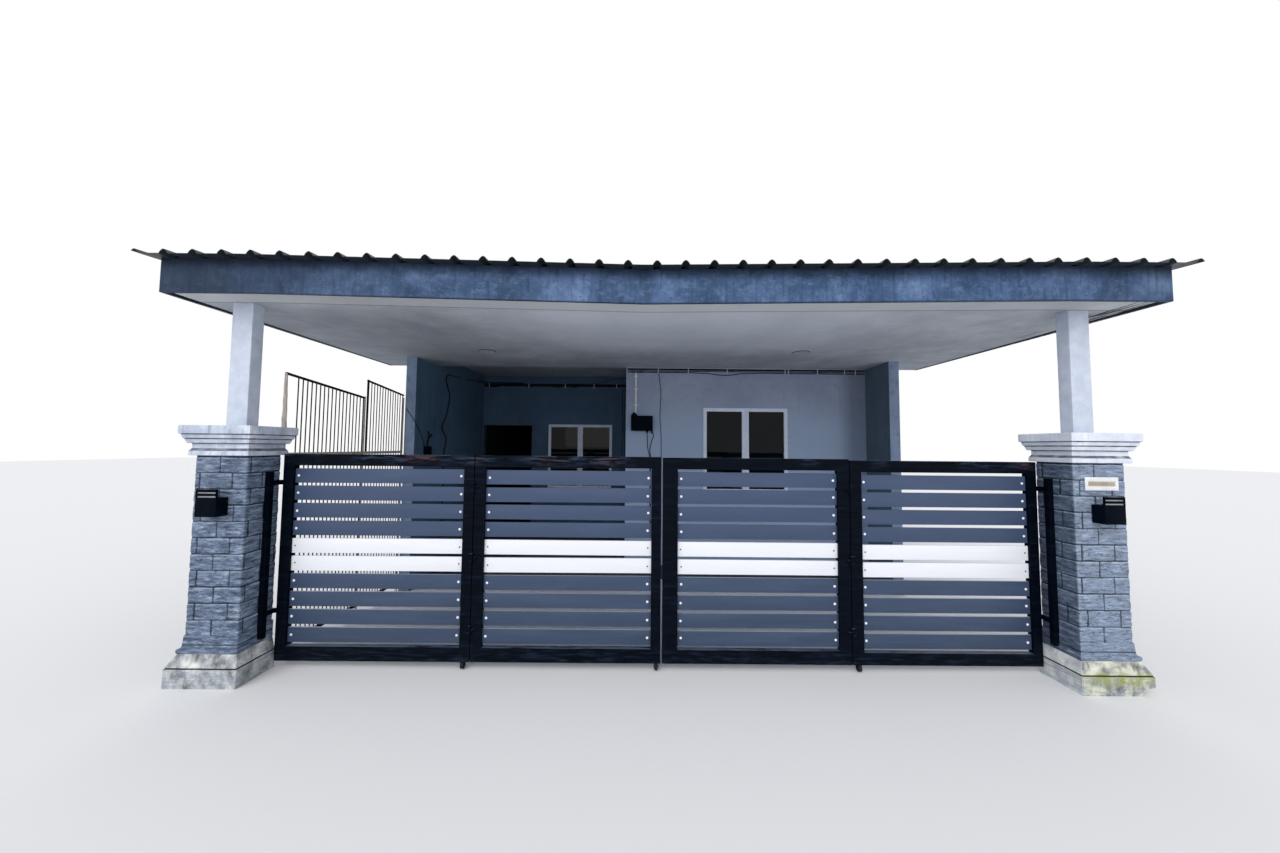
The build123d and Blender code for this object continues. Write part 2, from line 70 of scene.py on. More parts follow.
def makeCamera():
    forward = Vector(view["forward"]).normalized()
    right = forward.cross(Vector(view["up"])).normalized()
    up = right.cross(forward)
    camera = addToScene("camera", bpy.data.cameras.new("camera"))
    camera.data.lens = view["lens"]
    camera.data.sensor_width = view["sensor"]
    camera.data.sensor_fit = "HORIZONTAL"
    camera.data.clip_end = view["reach"]
    spot = place(*view["at"])
    camera.matrix_world = Matrix([(right[i], up[i], -forward[i], spot[i]) for i in range(3)] + [(0, 0, 0, 1)])
    bpy.context.scene.camera = camera


def hexLinear(code):
    parts = [int(code[i:i + 2], 16) / 255 for i in (1, 3, 5)]
    return tuple(p / 12.92 if p <= 0.04045 else ((p + 0.055) / 1.055) ** 2.4 for p in parts) + (1,)


def addNode(tree, kind, inputs=None, stops=(), **settings):
    # a text value is a hex colour, and stops are a colour ramp's places and colours
    node = tree.nodes.new(kind)
    for name, value in settings.items():
        setattr(node, name, value)
    for name, value in (inputs or {}).items():
        if isinstance(value, bpy.types.NodeSocket):
            tree.links.new(value, node.inputs[name])
        else:
            node.inputs[name].default_value = hexLinear(value) if isinstance(value, str) else value
    if stops:
        marks = node.color_ramp.elements
        while len(marks) < len(stops):
            marks.new(0.5)
        for mark, (where, colour) in zip(marks, stops):
            mark.position = where
            mark.color = hexLinear(colour)
    return node


light = dict(
    sky=0.86,
    sun=1.15,
    sunSize=40,
    sunTurn=(52, 0, -28),
    front=120,
    frontAt=(-600, -9000, 5200),
    frontAim=(0, 2400, 1500),
    frontSize=7,
    floor="#e4e5e8",
    floorRough=0.9,
    floorHalf=60,
)


def makeLight():
    world = bpy.data.worlds.new("studio")
    bpy.context.scene.world = world
    world.use_nodes = True
    tree = world.node_tree
    tree.nodes.clear()
    # the camera, metal and glass see white behind the house, and the rest is lit by the dimmer sky
    path = addNode(tree, "ShaderNodeLightPath").outputs
    seen = path["Is Camera Ray"]
    for ray in ("Is Glossy Ray", "Is Transmission Ray"):
        seen = addNode(tree, "ShaderNodeMath", {0: seen, 1: path[ray]}, operation="MAXIMUM").outputs[0]
    lamp, back = [addNode(tree, "ShaderNodeBackground", {"Color": "#ffffff", "Strength": strength}).outputs[0]
                  for strength in (light["sky"], 1)]
    mix = addNode(tree, "ShaderNodeMixShader", {0: seen, 1: lamp, 2: back})
    addNode(tree, "ShaderNodeOutputWorld", {"Surface": mix.outputs[0]})
    sun = addToScene("sun", bpy.data.lights.new("sun", "SUN"))
    sun.data.energy = light["sun"]
    sun.data.angle = math.radians(light["sunSize"])
    sun.rotation_euler = [math.radians(a) for a in light["sunTurn"]]
    soft = addToScene("front", bpy.data.lights.new("front", "AREA"))
    soft.data.energy = light["front"]
    soft.data.size = light["frontSize"]
    soft.location = place(*light["frontAt"])
    aim = place(*light["frontAim"]) - soft.location
    soft.rotation_euler = aim.to_track_quat("-Z", "Y").to_euler()


makeCamera()
makeLight()
print("camera and light")


# materials

def startMaterial(name):
    material = bpy.data.materials.new(name)
    material.use_nodes = True
    tree = material.node_tree
    tree.nodes.clear()
    spot = addNode(tree, "ShaderNodeTexCoord").outputs["Object"]
    return material, tree, spot, addNode(tree, "ShaderNodeSeparateXYZ", {0: spot}).outputs


def facingOf(tree):
    # how far the surface looks along x, y and z
    normal = addNode(tree, "ShaderNodeNewGeometry").outputs["Normal"]
    return addNode(tree, "ShaderNodeSeparateXYZ", {0: normal}).outputs


def patched(tree, spot, size, detail, rough=0.55):
    # a pattern whose patches are size mm across, all ways or along x, y and z
    across = size if isinstance(size, tuple) else (size,) * 3
    scale = [1000 / length for length in across]
    scaled = addNode(tree, "ShaderNodeVectorMath", {0: spot, 1: scale}, operation="MULTIPLY").outputs[0]
    return addNode(tree, "ShaderNodeTexNoise", {"Vector": scaled, "Scale": 1, "Detail": detail,
                                                "Roughness": rough}).outputs[0]


def clouded(tree, spot, size, detail, rough, *stops):
    # such a pattern, and the tone that it gives through its stops
    cloud = patched(tree, spot, size, detail, rough)
    return cloud, addNode(tree, "ShaderNodeValToRGB", {0: cloud}, stops).outputs["Color"]


def washed(tree, tone, colour, share, *masks):
    # a wash of colour over a tone: each mask is a value, where it starts and where it is full
    for value, start, full in masks:
        cover = addNode(tree, "ShaderNodeMapRange", {"Value": value, "From Min": start,
                                                     "From Max": full}).outputs[0]
        share = addNode(tree, "ShaderNodeMath", {0: cover, 1: share}, operation="MULTIPLY").outputs[0]
    return addNode(tree, "ShaderNodeMix", {0: share, 6: tone, 7: colour}, data_type="RGBA").outputs[2]


def finishMaterial(material, colour, rough, bump=None, deep=1, metallic=0, ior=1.5, gloss=0.25, through=0):
    # deep is the relief in mm, and gloss is low on chalky or weathered skins, which mirror little
    tree = material.node_tree
    if isinstance(rough, tuple):
        value, start, full, least, most = rough
        rough = addNode(tree, "ShaderNodeMapRange", {"Value": value, "From Min": start, "From Max": full,
                                                     "To Min": least, "To Max": most}).outputs[0]
    skin = {"Base Color": colour, "Roughness": rough, "Metallic": metallic, "IOR": ior,
            "Specular IOR Level": gloss, "Transmission Weight": through}
    if bump:
        skin["Normal"] = addNode(tree, "ShaderNodeBump", {"Height": bump, "Distance": deep / 1000,
                                                          "Strength": 1}).outputs[0]
    shader = addNode(tree, "ShaderNodeBsdfPrincipled", skin)
    addNode(tree, "ShaderNodeOutputMaterial", {"Surface": shader.outputs[0]})
    return material


# painted cement render, floated with a wooden trowel: soft cloudy tone, sand grain and rain streaks
render = dict(
    cloud=900,
    sand=10,  # drawn four times as coarse as its 2.5 mm, so that it shows
    sandDeep=0.6,
    rough=(0.74, 0.88),
    streak=(70, 70, 1800),
    trowel=111.1,
    finShadeBand="#3e4a60",
    dryStreak=(90.91, 90.91, 833.3),
    dryTrowel=125,
    earth="#484643",
)


def renderedWall(name, light1, light2, stain, low=None):
    material, tree, spot, (x, y, z) = startMaterial(name)
    cloud, tone = clouded(tree, spot, render["cloud"], 6, 0.62, (0.32, light1), (0.68, light2))
    run = patched(tree, spot, render["streak"], 4)
    trowel = patched(tree, spot, render["trowel"], 5, 0.65)
    tone = washed(tree, tone, stain, 0.16, (run, 0.55, 0.8))
    tone = washed(tree, tone, stain, 0.3, (trowel, 0.50, 0.72))
    # painted light: paler lower down the room wall; painted shade in a band beside the right fin
    if low:
        tone = washed(tree, tone, low, 0.9, (z, 2.62, 2.15))
        tone = washed(tree, tone, render["finShadeBand"], 0.42, (x, 2.72, 2.93))
    tone = washed(tree, tone, stain, 0.55, (z, 0.7, 0.05), (cloud, 0.35, 0.6))
    sand = patched(tree, spot, render["sand"], 2)
    return finishMaterial(material, tone, (cloud, 0.3, 0.7, *render["rough"]), sand, render["sandDeep"])


# two tones of render: pale facing outwards, and facing into the house slate, darkened as painted shade
def twoToneWall():
    material, tree, spot, (x, y, z) = startMaterial("rendered_wall_two_tone")
    cloud, pale = clouded(tree, spot, render["cloud"], 5, 0.55, (0.32, "#768aa6"), (0.68, "#8c9ebb"))
    streak = patched(tree, spot, render["dryStreak"], 5, 0.62)
    trowel = patched(tree, spot, render["dryTrowel"], 6, 0.65)
    pale = washed(tree, pale, "#4c5b70", 0.3, (streak, 0.50, 0.74))
    pale = washed(tree, pale, "#56657b", 0.5, (trowel, 0.48, 0.68))
    slate = washed(tree, "#48647e", "#57758f", 1, (cloud, 0.32, 0.68))
    grey = washed(tree, "#4b5c6c", "#5c6d7c", 1, (cloud, 0.32, 0.68))
    slate = washed(tree, slate, grey, 1, (x, -1, 1))  # bluer on the left wall, greyer on the right
    slate = washed(tree, slate, "#2c435a", 0.35, (streak, 0.52, 0.74))
    slate = washed(tree, slate, "#1b2530", 1, (y, -0.9, -0.7))  # painted shade in the rooms behind the recess
    normal = addNode(tree, "ShaderNodeNewGeometry").outputs["Normal"]
    flat = addNode(tree, "ShaderNodeVectorMath", {0: normal, 1: (1, 1, 0)}, operation="MULTIPLY").outputs[0]
    away = addNode(tree, "ShaderNodeVectorMath", {0: flat, 1: spot}, operation="DOT_PRODUCT").outputs["Value"]
    tone = washed(tree, pale, slate, 1, (away, 0.1, -0.2))
    tone = washed(tree, tone, render["earth"], 0.5, (z, 0.5, 0.05), (cloud, 0.35, 0.6))
    sand = patched(tree, spot, render["sand"], 2)
    return finishMaterial(material, tone, (cloud, 0.3, 0.7, *render["rough"]), sand, render["sandDeep"])


# fibre-cement board under brushed exterior paint: chalky blue-grey with drip runs and scuffs
def brushedBoard():
    material, tree, spot, (x, y, z) = startMaterial("brushed_fibre_cement")
    cloud, tone = clouded(tree, spot, 384.6, 7, 0.68, (0.34, "#233c5c"), (0.48, "#375174"), (0.58, "#4a6389"),
                          (0.70, "#6981a6"))
    drips = patched(tree, spot, (33.33, 33.33, 454.5), 6, 0.66)
    scuffs = patched(tree, spot, (62.5, 62.5, 45.45), 7, 0.75)
    tone = washed(tree, tone, "#20344e", 0.6, (drips, 0.50, 0.68))
    tone = washed(tree, tone, "#8399bb", 0.32, (scuffs, 0.50, 0.70))
    tone = washed(tree, tone, "#0e2239", 0.78, (x, -1.6, -3.6))  # darker towards the left end
    tone = washed(tree, tone, "#14273f", 0.32, (x, 2.7, 3.7))
    # the shadowed strips under the sheet and along the foot follow the sag of the front edge
    middle = (dip["splice"] - originShift[0]) / 1000
    side = addNode(tree, "ShaderNodeMath", {0: x, 1: -middle}, operation="ADD").outputs[0]
    side = addNode(tree, "ShaderNodeMath", {0: side}, operation="ABSOLUTE").outputs[0]
    fall = addNode(tree, "ShaderNodeMapRange", {"Value": side, "From Min": dip["end"] / 1000, "From Max": 0,
                                                "To Max": dip["drop"] / 1000}).outputs[0]
    up = addNode(tree, "ShaderNodeMath", {0: z, 1: fall}, operation="ADD").outputs[0]
    tone = washed(tree, tone, "#101c2e", 0.75, (up, 3.23, 3.32))
    tone = washed(tree, tone, "#16243a", 0.6, (up, 3.075, 3.066))
    # the undersides of the side boards carry the ceiling's paint, worn off in places on the right
    under = washed(tree, "#8f949c", "#2a2622", 1, (x, 0, 1), (drips, 0.44, 0.52))
    tone = washed(tree, tone, under, 1, (facingOf(tree)[2], -0.6, -0.9), (y, -5.3, -5.15))
    return finishMaterial(material, tone, (drips, 0.3, 0.7, 0.5, 0.72), scuffs, 0.8)


# flat ceiling board, matt emulsion: warm off-white, faintly clouded by damp, greyed as painted shade
def ceilingBoard():
    material, tree, spot, (x, y, z) = startMaterial("matt_emulsion_board")
    cloud, tone = clouded(tree, spot, 625, 8, 0.7, (0.34, "#969ba4"), (0.46, "#a4a9b1"), (0.56, "#b1b6bd"),
                          (0.68, "#c0c5cb"))
    brush = patched(tree, spot, (333.3, 16.67, 16.67), 3)
    stain = patched(tree, spot, (38.46, 454.5, 1000), 4, 0.6)
    tone = washed(tree, tone, "#868b95", 0.35, (brush, 0.5, 0.75))
    tone = washed(tree, tone, "#767b86", 0.42, (x, -1.6, -2.6), (y, -5.25, -4.95))  # painted shade at the left
    # painted light across the middle, towards the front
    tone = washed(tree, tone, "#dfe6f2", 0.55, (x, -2.0, -0.8), (x, 3.2, 0.8), (y, -3.4, -4.1))
    tone = washed(tree, tone, "#c9cacc", 0.5, (y, -5.27, -5.29))  # the front strip, and the joint behind it
    tone = washed(tree, tone, "#5d626b", 0.6, (y, -5.288, -5.283), (y, -5.266, -5.271))
    tone = washed(tree, tone, "#2b2520", 1, (x, 3.62, 3.72), (y, -4.3, -4.9), (stain, 0.50, 0.56))
    return finishMaterial(material, tone, 0.82, brush, 0.3)


# zinc-aluminium coated steel, roll-formed: dull grey with chalked bands down the fall and rust at laps
def rolledSheet():
    material, tree, spot, (x, y, z) = startMaterial("zinc_coated_sheet")
    bands, tone = clouded(tree, spot, (125, 1667, 1667), 5, 0.6, (0.28, "#6d7278"), (0.5, "#878c92"),
                          (0.72, "#a0a4a8"))
    bloom = patched(tree, spot, 55.56, 5, 0.65)
    rust = patched(tree, spot, 200, 6, 0.7)
    tone = washed(tree, tone, "#5e5c5b", 0.45, (bloom, 0.56, 0.74))
    tone = washed(tree, tone, "#6b5245", 0.6, (rust, 0.66, 0.78))
    tone = washed(tree, tone, "#5c646d", 0.75, (facingOf(tree)[2], -0.2, -0.6))  # the underside, darker as painted shade
    tone = washed(tree, tone, "#262c33", 0.85, (y, -5.48, -5.54))  # painted shade along the eave
    return finishMaterial(material, tone, (bloom, 0.3, 0.7, 0.38, 0.6), bloom, 0.3, metallic=0.35)


# split-faced cement stone, cast and painted slate grey: rough riven faces, darker worn joints
def splitStone():
    material, tree, spot, (x, y, z) = startMaterial("split_faced_stone")
    joint = addNode(tree, "ShaderNodeAttribute", attribute_name="joint").outputs["Fac"]
    split, tone = clouded(tree, spot, (111.1, 111.1, 25), 6, 0.68, (0.34, "#38445a"), (0.45, "#5b6a81"),
                          (0.56, "#7787a0"), (0.70, "#acb8ca"))
    cloud = patched(tree, spot, 166.7, 5, 0.6)
    crease = patched(tree, spot, (166.7, 166.7, 33.33), 4, 0.6)
    facing = facingOf(tree)
    tone = washed(tree, tone, "#414d61", 0.35, (cloud, 0.50, 0.72))
    # painted light on the right pillar's front, and painted shade on its inner side
    tone = washed(tree, tone, "#aebdd3", 0.3, (x, 0, 1), (facing[1], -0.4, -0.8))
    tone = washed(tree, tone, "#1d2a3c", 0.38, (x, 0, 1), (facing[0], -0.4, -0.8))
    tone = washed(tree, tone, "#bccadd", 0.45, (joint, -0.1, -0.7))  # painted highlight on upper edges
    tone = washed(tree, tone, "#1a2331", 0.7, (crease, 0.485, 0.50), (crease, 0.53, 0.51))
    tone = washed(tree, tone, "#0c1320", 1, (joint, 0, 1))
    grit = patched(tree, spot, 14.29, 5, 0.65)
    return finishMaterial(material, tone, 0.68, washed(tree, split, grit, 0.5), 4)


# cast concrete foot under old limewash: flaked white over grey, green algae where water lies
def weatheredConcrete(name, algae):
    material, tree, spot, (x, y, z) = startMaterial(name)
    groove = addNode(tree, "ShaderNodeAttribute", attribute_name="joint").outputs["Fac"]
    flake, tone = clouded(tree, spot, 111.1, 7, 0.68, (0.36, "#6c6f73"), (0.45, "#989c9e"),
                          (0.55, "#c9cbb9" if algae else "#b9bdc1"), (0.70, "#e6e6df"))
    grime = patched(tree, spot, (62.5, 62.5, 200), 6, 0.65)
    scrape = patched(tree, spot, (200, 200, 16.67), 6, 0.7)
    tone = washed(tree, tone, "#44494f", 0.7, (grime, 0.52, 0.68))
    if algae:
        tone = washed(tree, tone, "#d3d8e6", 0.5, (facingOf(tree)[0], -0.3, -0.7))
    tone = washed(tree, tone, "#8293a6", 0.6, (z, 0.15, 0.14), (scrape, 0.47, 0.60))
    if algae:
        moss = patched(tree, spot, 90.91, 7, 0.7)
        damp = ((moss, 0.40, 0.54), (y, -5.05, -5.3), (x, 3.20, 3.42), (z, 0.06, 0.11), (z, 0.19, 0.15))
        tone = washed(tree, tone, "#a2a860", 0.8, *damp)
        tone = washed(tree, tone, "#69722f", 0.8, *damp, (moss, 0.55, 0.68))
    tone = washed(tree, tone, "#262b33", 1, (groove, 0, 1))
    return finishMaterial(material, tone, 0.86, patched(tree, spot, 6.25, 3), 1.5)


# precast moulding under gloss white paint: clean faces, with dust and painted shade greying the coves
def mouldedWhite():
    material, tree, spot, (x, y, z) = startMaterial("painted_precast")
    dust = addNode(tree, "ShaderNodeAttribute", attribute_name="joint").outputs["Fac"]
    cloud, tone = clouded(tree, spot, 166.7, 6, 0.62, (0.34, "#a7b1c4"), (0.50, "#c1cadb"), (0.66, "#e0e6f0"))
    streak = patched(tree, spot, (33.33, 33.33, 250), 5, 0.65)
    tone = washed(tree, tone, "#747f93", 0.55, (streak, 0.54, 0.70))
    tone = washed(tree, tone, "#eef3fd", 0.45, (x, 0, 1))  # the right one is paler
    # dust and painted shade in the coves
    tone = washed(tree, tone, "#3a4252", 1, (dust, 0, 1))
    return finishMaterial(material, tone, (cloud, 0.3, 0.7, 0.42, 0.6), streak, 0.5)


# mild steel tube under sprayed black enamel: near-black gloss, chalky and rubbed brown along the top
def enamelSteel():
    material, tree, spot, (x, y, z) = startMaterial("black_enamel_steel")
    dust, tone = clouded(tree, spot, (333.3, 333.3, 25), 6, 0.7, (0.35, "#01040b"), (0.58, "#050c18"),
                         (0.74, "#15233a"))
    wear = patched(tree, spot, (200, 33.33, 25), 6, 0.7)
    patch = patched(tree, spot, 588.2, 3, 0.5)
    worn = ((wear, 0.47, 0.62), (patch, 0.42, 0.56), (z, 1.72, 1.79))
    tone = washed(tree, tone, "#3d4c66", 0.7, *worn)
    tone = washed(tree, tone, "#54362c", 0.8, *worn, (patch, 0.58, 0.68))  # rubbed down to rust
    tone = washed(tree, tone, "#2c384c", 0.6, (z, 0.25, 0.08), (wear, 0.50, 0.66))  # mud splashed on the foot
    tone = washed(tree, tone, "#56637b", 0.8, (facingOf(tree)[2], 0.6, 0.9), (wear, 0.36, 0.50))
    return finishMaterial(material, tone, (dust, 0.3, 0.75, 0.34, 0.55), wear, 0.3, gloss=0.05)


# extruded wood-plastic board: fine drawn lines along its length, a dull satin skin
def extrudedBoard(name, high, low, pale):
    material, tree, spot, (x, y, z) = startMaterial(name)
    lines = patched(tree, spot, (833.3, 11.11, 3.846), 4, 0.6)
    cloud = patched(tree, spot, (666.7, 333.3, 111.1), 5, 0.6)
    tone = washed(tree, low, high, 1, (z, 0.35, 1.6))
    tone = washed(tree, tone, pale, 0.4, (cloud, 0.45, 0.75))
    tone = washed(tree, tone, pale, 0.18, (lines, 0.45, 0.7))
    # pale dust on the upper edges, most of it low down, standing also as painted light there
    tone = washed(tree, tone, "#b4bfd2", 0.7, (facingOf(tree)[2], 0.5, 0.9), (z, 1.3, 0.7))
    return finishMaterial(material, tone, (cloud, 0.3, 0.7, 0.36, 0.52), lines, 0.35)


# one tone of moulded or coated stock with fine mottling: plastic, rubber, powder coat, cable sheath
def mottled(name, dark, pale, rough, grain, deep=0.2, metallic=0, gloss=0.25):
    material, tree, spot = startMaterial(name)[:3]
    cloud, tone = clouded(tree, spot, 83.33, 4, 0.6, (0.32, dark), (0.70, pale))
    speck = patched(tree, spot, grain, 3)
    sheen = (cloud, 0.3, 0.7, rough, rough + 0.12)
    return finishMaterial(material, tone, sheen, speck, deep, metallic, gloss=gloss)


# pvc cable sheaths, black with one faded grey run in the bundle under the porch ceiling
def cableSheath():
    material, tree, spot, (x, y, z) = startMaterial("pvc_cable_sheath")
    fade, tone = clouded(tree, spot, 400, 4, 0.6, (0.35, "#05070c"), (0.65, "#10151e"))
    tone = washed(tree, tone, "#667186", 1, (z, 3.020, 3.022), (z, 3.042, 3.040), (fade, 0.38, 0.50))
    return finishMaterial(material, tone, 0.55, patched(tree, spot, 1.667, 3), 0.2, gloss=0.12)


# sawn softwood post under thinned white paint: grey grain showing through
def limedPost():
    material, tree, spot = startMaterial("limed_softwood")[:3]
    grain, tone = clouded(tree, spot, (8.333, 8.333, 166.7), 5, 0.65, (0.32, "#8d8279"), (0.5, "#bdb3ab"),
                          (0.7, "#dcd6d0"))
    tone = washed(tree, tone, "#6b625c", 0.5, (patched(tree, spot, 111.1, 5), 0.55, 0.75))
    return finishMaterial(material, tone, 0.78, grain, 0.8)


# clear float glass, painted near-black as shade of the dark room behind it, with a faint cool sheen
def floatGlass():
    material, tree, spot = startMaterial("float_glass")[:3]
    smear, tone = clouded(tree, spot, 285.7, 5, 0.6, (0.3, "#04070b"), (0.7, "#0c131b"))
    return finishMaterial(material, tone, (smear, 0.4, 0.75, 0.015, 0.05), ior=1.52, gloss=0.08, through=0.12)


finishes = dict(
    room=renderedWall("rendered_wall_pale", "#8e9ab4", "#a5b0c8", "#707d94", "#a2b6d4"),
    # the recess walls: slate, darkened further as painted shade of the recess
    recess=renderedWall("rendered_wall_slate_in_shade", "#435a76", "#516b88", "#33485e"),
    twoTone=twoToneWall(),
    fascia=brushedBoard(),
    soffit=ceilingBoard(),
    sheet=rolledSheet(),
    stone=splitStone(),
    foot=weatheredConcrete("weathered_concrete", False),
    mossyFoot=weatheredConcrete("algae_concrete", True),
    moulding=mouldedWhite(),
    column=mottled("painted_column", "#b9c2d4", "#ccd4e3", 0.5, 1.2, 0.3),
    steel=enamelSteel(),
    greyBoard=extrudedBoard("extruded_board_slate", "#3f4d69", "#36455c", "#4d5b78"),
    whiteBoard=extrudedBoard("extruded_board_white", "#e9ebf1", "#dfe2ea", "#f1f2f6"),
    rubber=mottled("moulded_rubber", "#141416", "#26262a", 0.72, 1.2, 0.4),
    frameWhite=mottled("powder_coated_aluminium", "#d3e0f8", "#e8f1ff", 0.38, 0.8, 0.1),
    # the same powder coat darkened as painted shade: the downlight rims' shadow gap and the door lining
    frameDim=mottled("shaded_powder_coat", "#3c4555", "#566074", 0.45, 0.8, 0.1),
    blackPlastic=mottled("moulded_abs_black", "#01050c", "#050f1b", 0.5, 0.9, 0.15, gloss=0.03),
    sheath=cableSheath(),
    whitePlastic=mottled("moulded_pvc_white", "#d4d7de", "#e9ebef", 0.42, 1.0),
    tanPlastic=mottled("moulded_abs_tan", "#a08a72", "#b8a48c", 0.45, 1.0),
    screwPale=mottled("nylon_screw_cap", "#d9dde6", "#f0f2f6", 0.35, 0.6),
    screwDark=mottled("blued_steel_screw", "#20242c", "#3b414c", 0.4, 0.6, metallic=0.7),
    zincScrew=mottled("zinc_plated_screw", "#85898e", "#a6aab0", 0.4, 0.6, metallic=0.8),
    rod=mottled("weathered_steel_rod", "#101418", "#2a2624", 0.7, 1.5, 0.3, gloss=0.1),
    post=limedPost(),
    glass=floatGlass(),
    # opal acrylic, greyed to the ceiling's tone as painted shade
    lens=mottled("opal_acrylic", "#a3a7af", "#b4b8bf", 0.4, 0.8),
    floor=mottled("cement_floor", "#3c3e40", "#4d4f50", 0.8, 3.0, 0.6),
)
print("materials", len(finishes))


# mesh helpers

def newPiece(name, shape, keys, replaced=(), body="house", smooth=40):
    bmesh.ops.recalc_face_normals(shape, faces=shape.faces)
    mesh = bpy.data.meshes.new(name)
    shape.to_mesh(mesh)
    shape.free()
    piece = addToScene(name, mesh)
    for key in keys.split():
        mesh.materials.append(finishes[key])
    if smooth:
        for face in mesh.polygons:
            face.use_smooth = True
        mesh.set_sharp_from_angle(angle=math.radians(smooth))
    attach(piece, body)
    if replaced:
        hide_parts(*replaced)


def addPrism(shape, outline, y0, y1, bevel=2, look=0):
    # an outline in x and z, given its depth along y
    front = [shape.verts.new(place(x, y0, z)) for x, z in outline]
    back = [shape.verts.new(place(x, y1, z)) for x, z in outline]
    faces = addSkin(shape, (front, back), look)
    if bevel:
        edges = list({edge for face in faces for edge in face.edges})
        bmesh.ops.bevel(shape, geom=edges, offset=bevel / 1000, segments=2, profile=0.6, affect="EDGES",
                        clamp_overlap=True)


def addBox(shape, x0, x1, y0, y1, z0, z1, bevel=2, look=0):
    addPrism(shape, ((x0, z0), (x1, z0), (x1, z1), (x0, z1)), y0, y1, bevel, look)


def addSkin(shape, rings, look=0):
    # joins a stack of rings and closes both ends
    count = len(rings[0])
    faces = [shape.faces.new(rings[0][::-1])]
    for low, high in zip(rings, rings[1:]):
        faces += [shape.faces.new((low[i], low[(i + 1) % count], high[(i + 1) % count], high[i]))
                  for i in range(count)]
    faces.append(shape.faces.new(rings[-1]))
    for face in faces:
        face.material_index = look
    return faces


def circle(sides):
    return [(math.cos(2 * math.pi * i / sides), math.sin(2 * math.pi * i / sides)) for i in range(sides)]


def addTurned(shape, foot, axis, profile, sides):
    # a round solid along an axis: profile gives each ring's distance from the foot and its radius
    side = axis.orthogonal().normalized()
    other = axis.cross(side)
    return addSkin(shape, [[shape.verts.new(foot + (axis * along + (side * c + other * s) * radius) / 1000)
                            for c, s in circle(sides)] for along, radius in profile])


def addRod(shape, start, end, radius, sides=12):
    run = place(*end) - place(*start)
    addTurned(shape, place(*start), run.normalized(), ((0, radius), (run.length * 1000, radius)), sides)


def addDome(shape, x, y, z, radius, high, axis=(0, -1, 0), sides=10):
    # a low round head, such as a screw's, standing on a face along axis
    profile = [(high * lift, radius * share) for lift, share in ((0, 1), (0.55, 0.96), (1, 0.6))]
    addTurned(shape, place(x, y, z), Vector(axis), profile, sides)


def addShell(shape, rect, levels, relief, step=12, corner=6, wideSide=0, rearShare=1, clip=None):
    # a skin round a rectangle: levels gives (height, outreach, outreach on the wide side), relief moves a
    # point inwards and clip cuts a corner off
    x0, x1, y0, y1 = rect
    joint = shape.verts.layers.float.get("joint") or shape.verts.layers.float.new("joint")
    sides = (((0, -1), (1, -1), x1 - x0), ((1, 0), (1, 1), y1 - y0), ((0, 1), (-1, 1), x1 - x0),
             ((-1, 0), (-1, -1), y1 - y0))
    rings = []
    for z, out, wide in levels:
        left = x0 - (wide if wideSide < 0 else out)
        right = x1 + (wide if wideSide > 0 else out)
        front, rear = y0 - out, y1 + out * rearShare
        turns = ((left, front), (right, front), (right, rear), (left, rear))
        along = 0
        samples = []
        for index, (normal, turn, size) in enumerate(sides):
            ax, ay = turns[index]
            bx, by = turns[(index + 1) % 4]
            length = math.hypot(bx - ax, by - ay)
            count = max(2, round((size - 2 * corner) / step))
            for share in evenly(corner / length, 1 - corner / length, count):
                samples.append((ax + (bx - ax) * share, ay + (by - ay) * share, normal, along + size * share))
            for i in (1, 2, 3):  # the rounded corner
                angle = math.atan2(normal[1], normal[0]) + math.radians(90) * i / 4
                face = (math.cos(angle), math.sin(angle))
                samples.append((bx + (face[0] - turn[0]) * corner, by + (face[1] - turn[1]) * corner, face,
                                along + size))
            along += size
        ring = []
        for x, y, face, distance in samples:
            depth, dark = relief(distance, z, x, y)
            x -= face[0] * depth
            y -= face[1] * depth
            if clip:
                x, y = clip(x, y, z)
            vert = shape.verts.new(place(x, y, z))
            vert[joint] = dark
            ring.append(vert)
        rings.append(ring)
    addSkin(shape, rings)


def evenly(first, last, count):
    return [first + (last - first) * i / count for i in range(count + 1)]


def evenLevels(corners, step):
    # points along a moulding's outline, no further apart than step
    levels = [corners[0]]
    for low, high in zip(corners, corners[1:]):
        count = max(1, math.ceil(math.dist(low[:2], high[:2]) / step))
        levels += [tuple(a + (b - a) * i / count for a, b in zip(low, high)) for i in range(1, count + 1)]
    return levels


# roof sheets

roof = dict(
    rib=217,
    porchRibs=(217.8, 215.3),
    porchRun=18,
    firstIn=22,
    lastIn=15,
    ribHalf=33,
    ribHigh=33,
    ribSteps=8,
    ribFull=0.85,
    thick=3,
    slope=math.tan(math.radians(5)),
    eaveY=-560,
    eaveZ=3323,
    left=-3995,
    right=4065,
    porchRear=2401,
    mainLift=52,
    mainSide=3340,
    mainFront=2330,
    ridgeY=6403.5,
    rearEave=10700,
    ridgeGap=4,
    screwRows=(140, 1050, 1960, 2750),
    mainScrewRows=(120, 1100, 2100, 3100, 3900),
    washer=(9, 2, 8),  # radius, height and sides
    head=(5, 4, 6),
)


def sagAt(x):
    if x < dip["splice"]:
        share = (x + dip["end"]) / (dip["splice"] + dip["end"])
    else:
        share = (dip["end"] - x) / (dip["end"] - dip["splice"])
    return dip["drop"] * max(0, share)


def porchPlane(y):
    return roof["eaveZ"] + (y - roof["eaveY"]) * roof["slope"]


def mainPlane(y):
    return porchPlane(min(y, 2 * roof["ridgeY"] - y)) + roof["mainLift"]


def porchRibs():
    mids = [roof["left"] + roof["firstIn"]]
    while mids[-1] + roof["porchRibs"][1] < roof["right"] - roof["lastIn"]:
        mids.append(mids[-1] + roof["porchRibs"][len(mids) > roof["porchRun"]])
    return mids


def ribLift(share):
    # the height of a rounded roll, from 0 at its middle to 1 at its side
    return roof["ribHigh"] * math.cos(math.pi / 2 * share) ** roof["ribFull"]


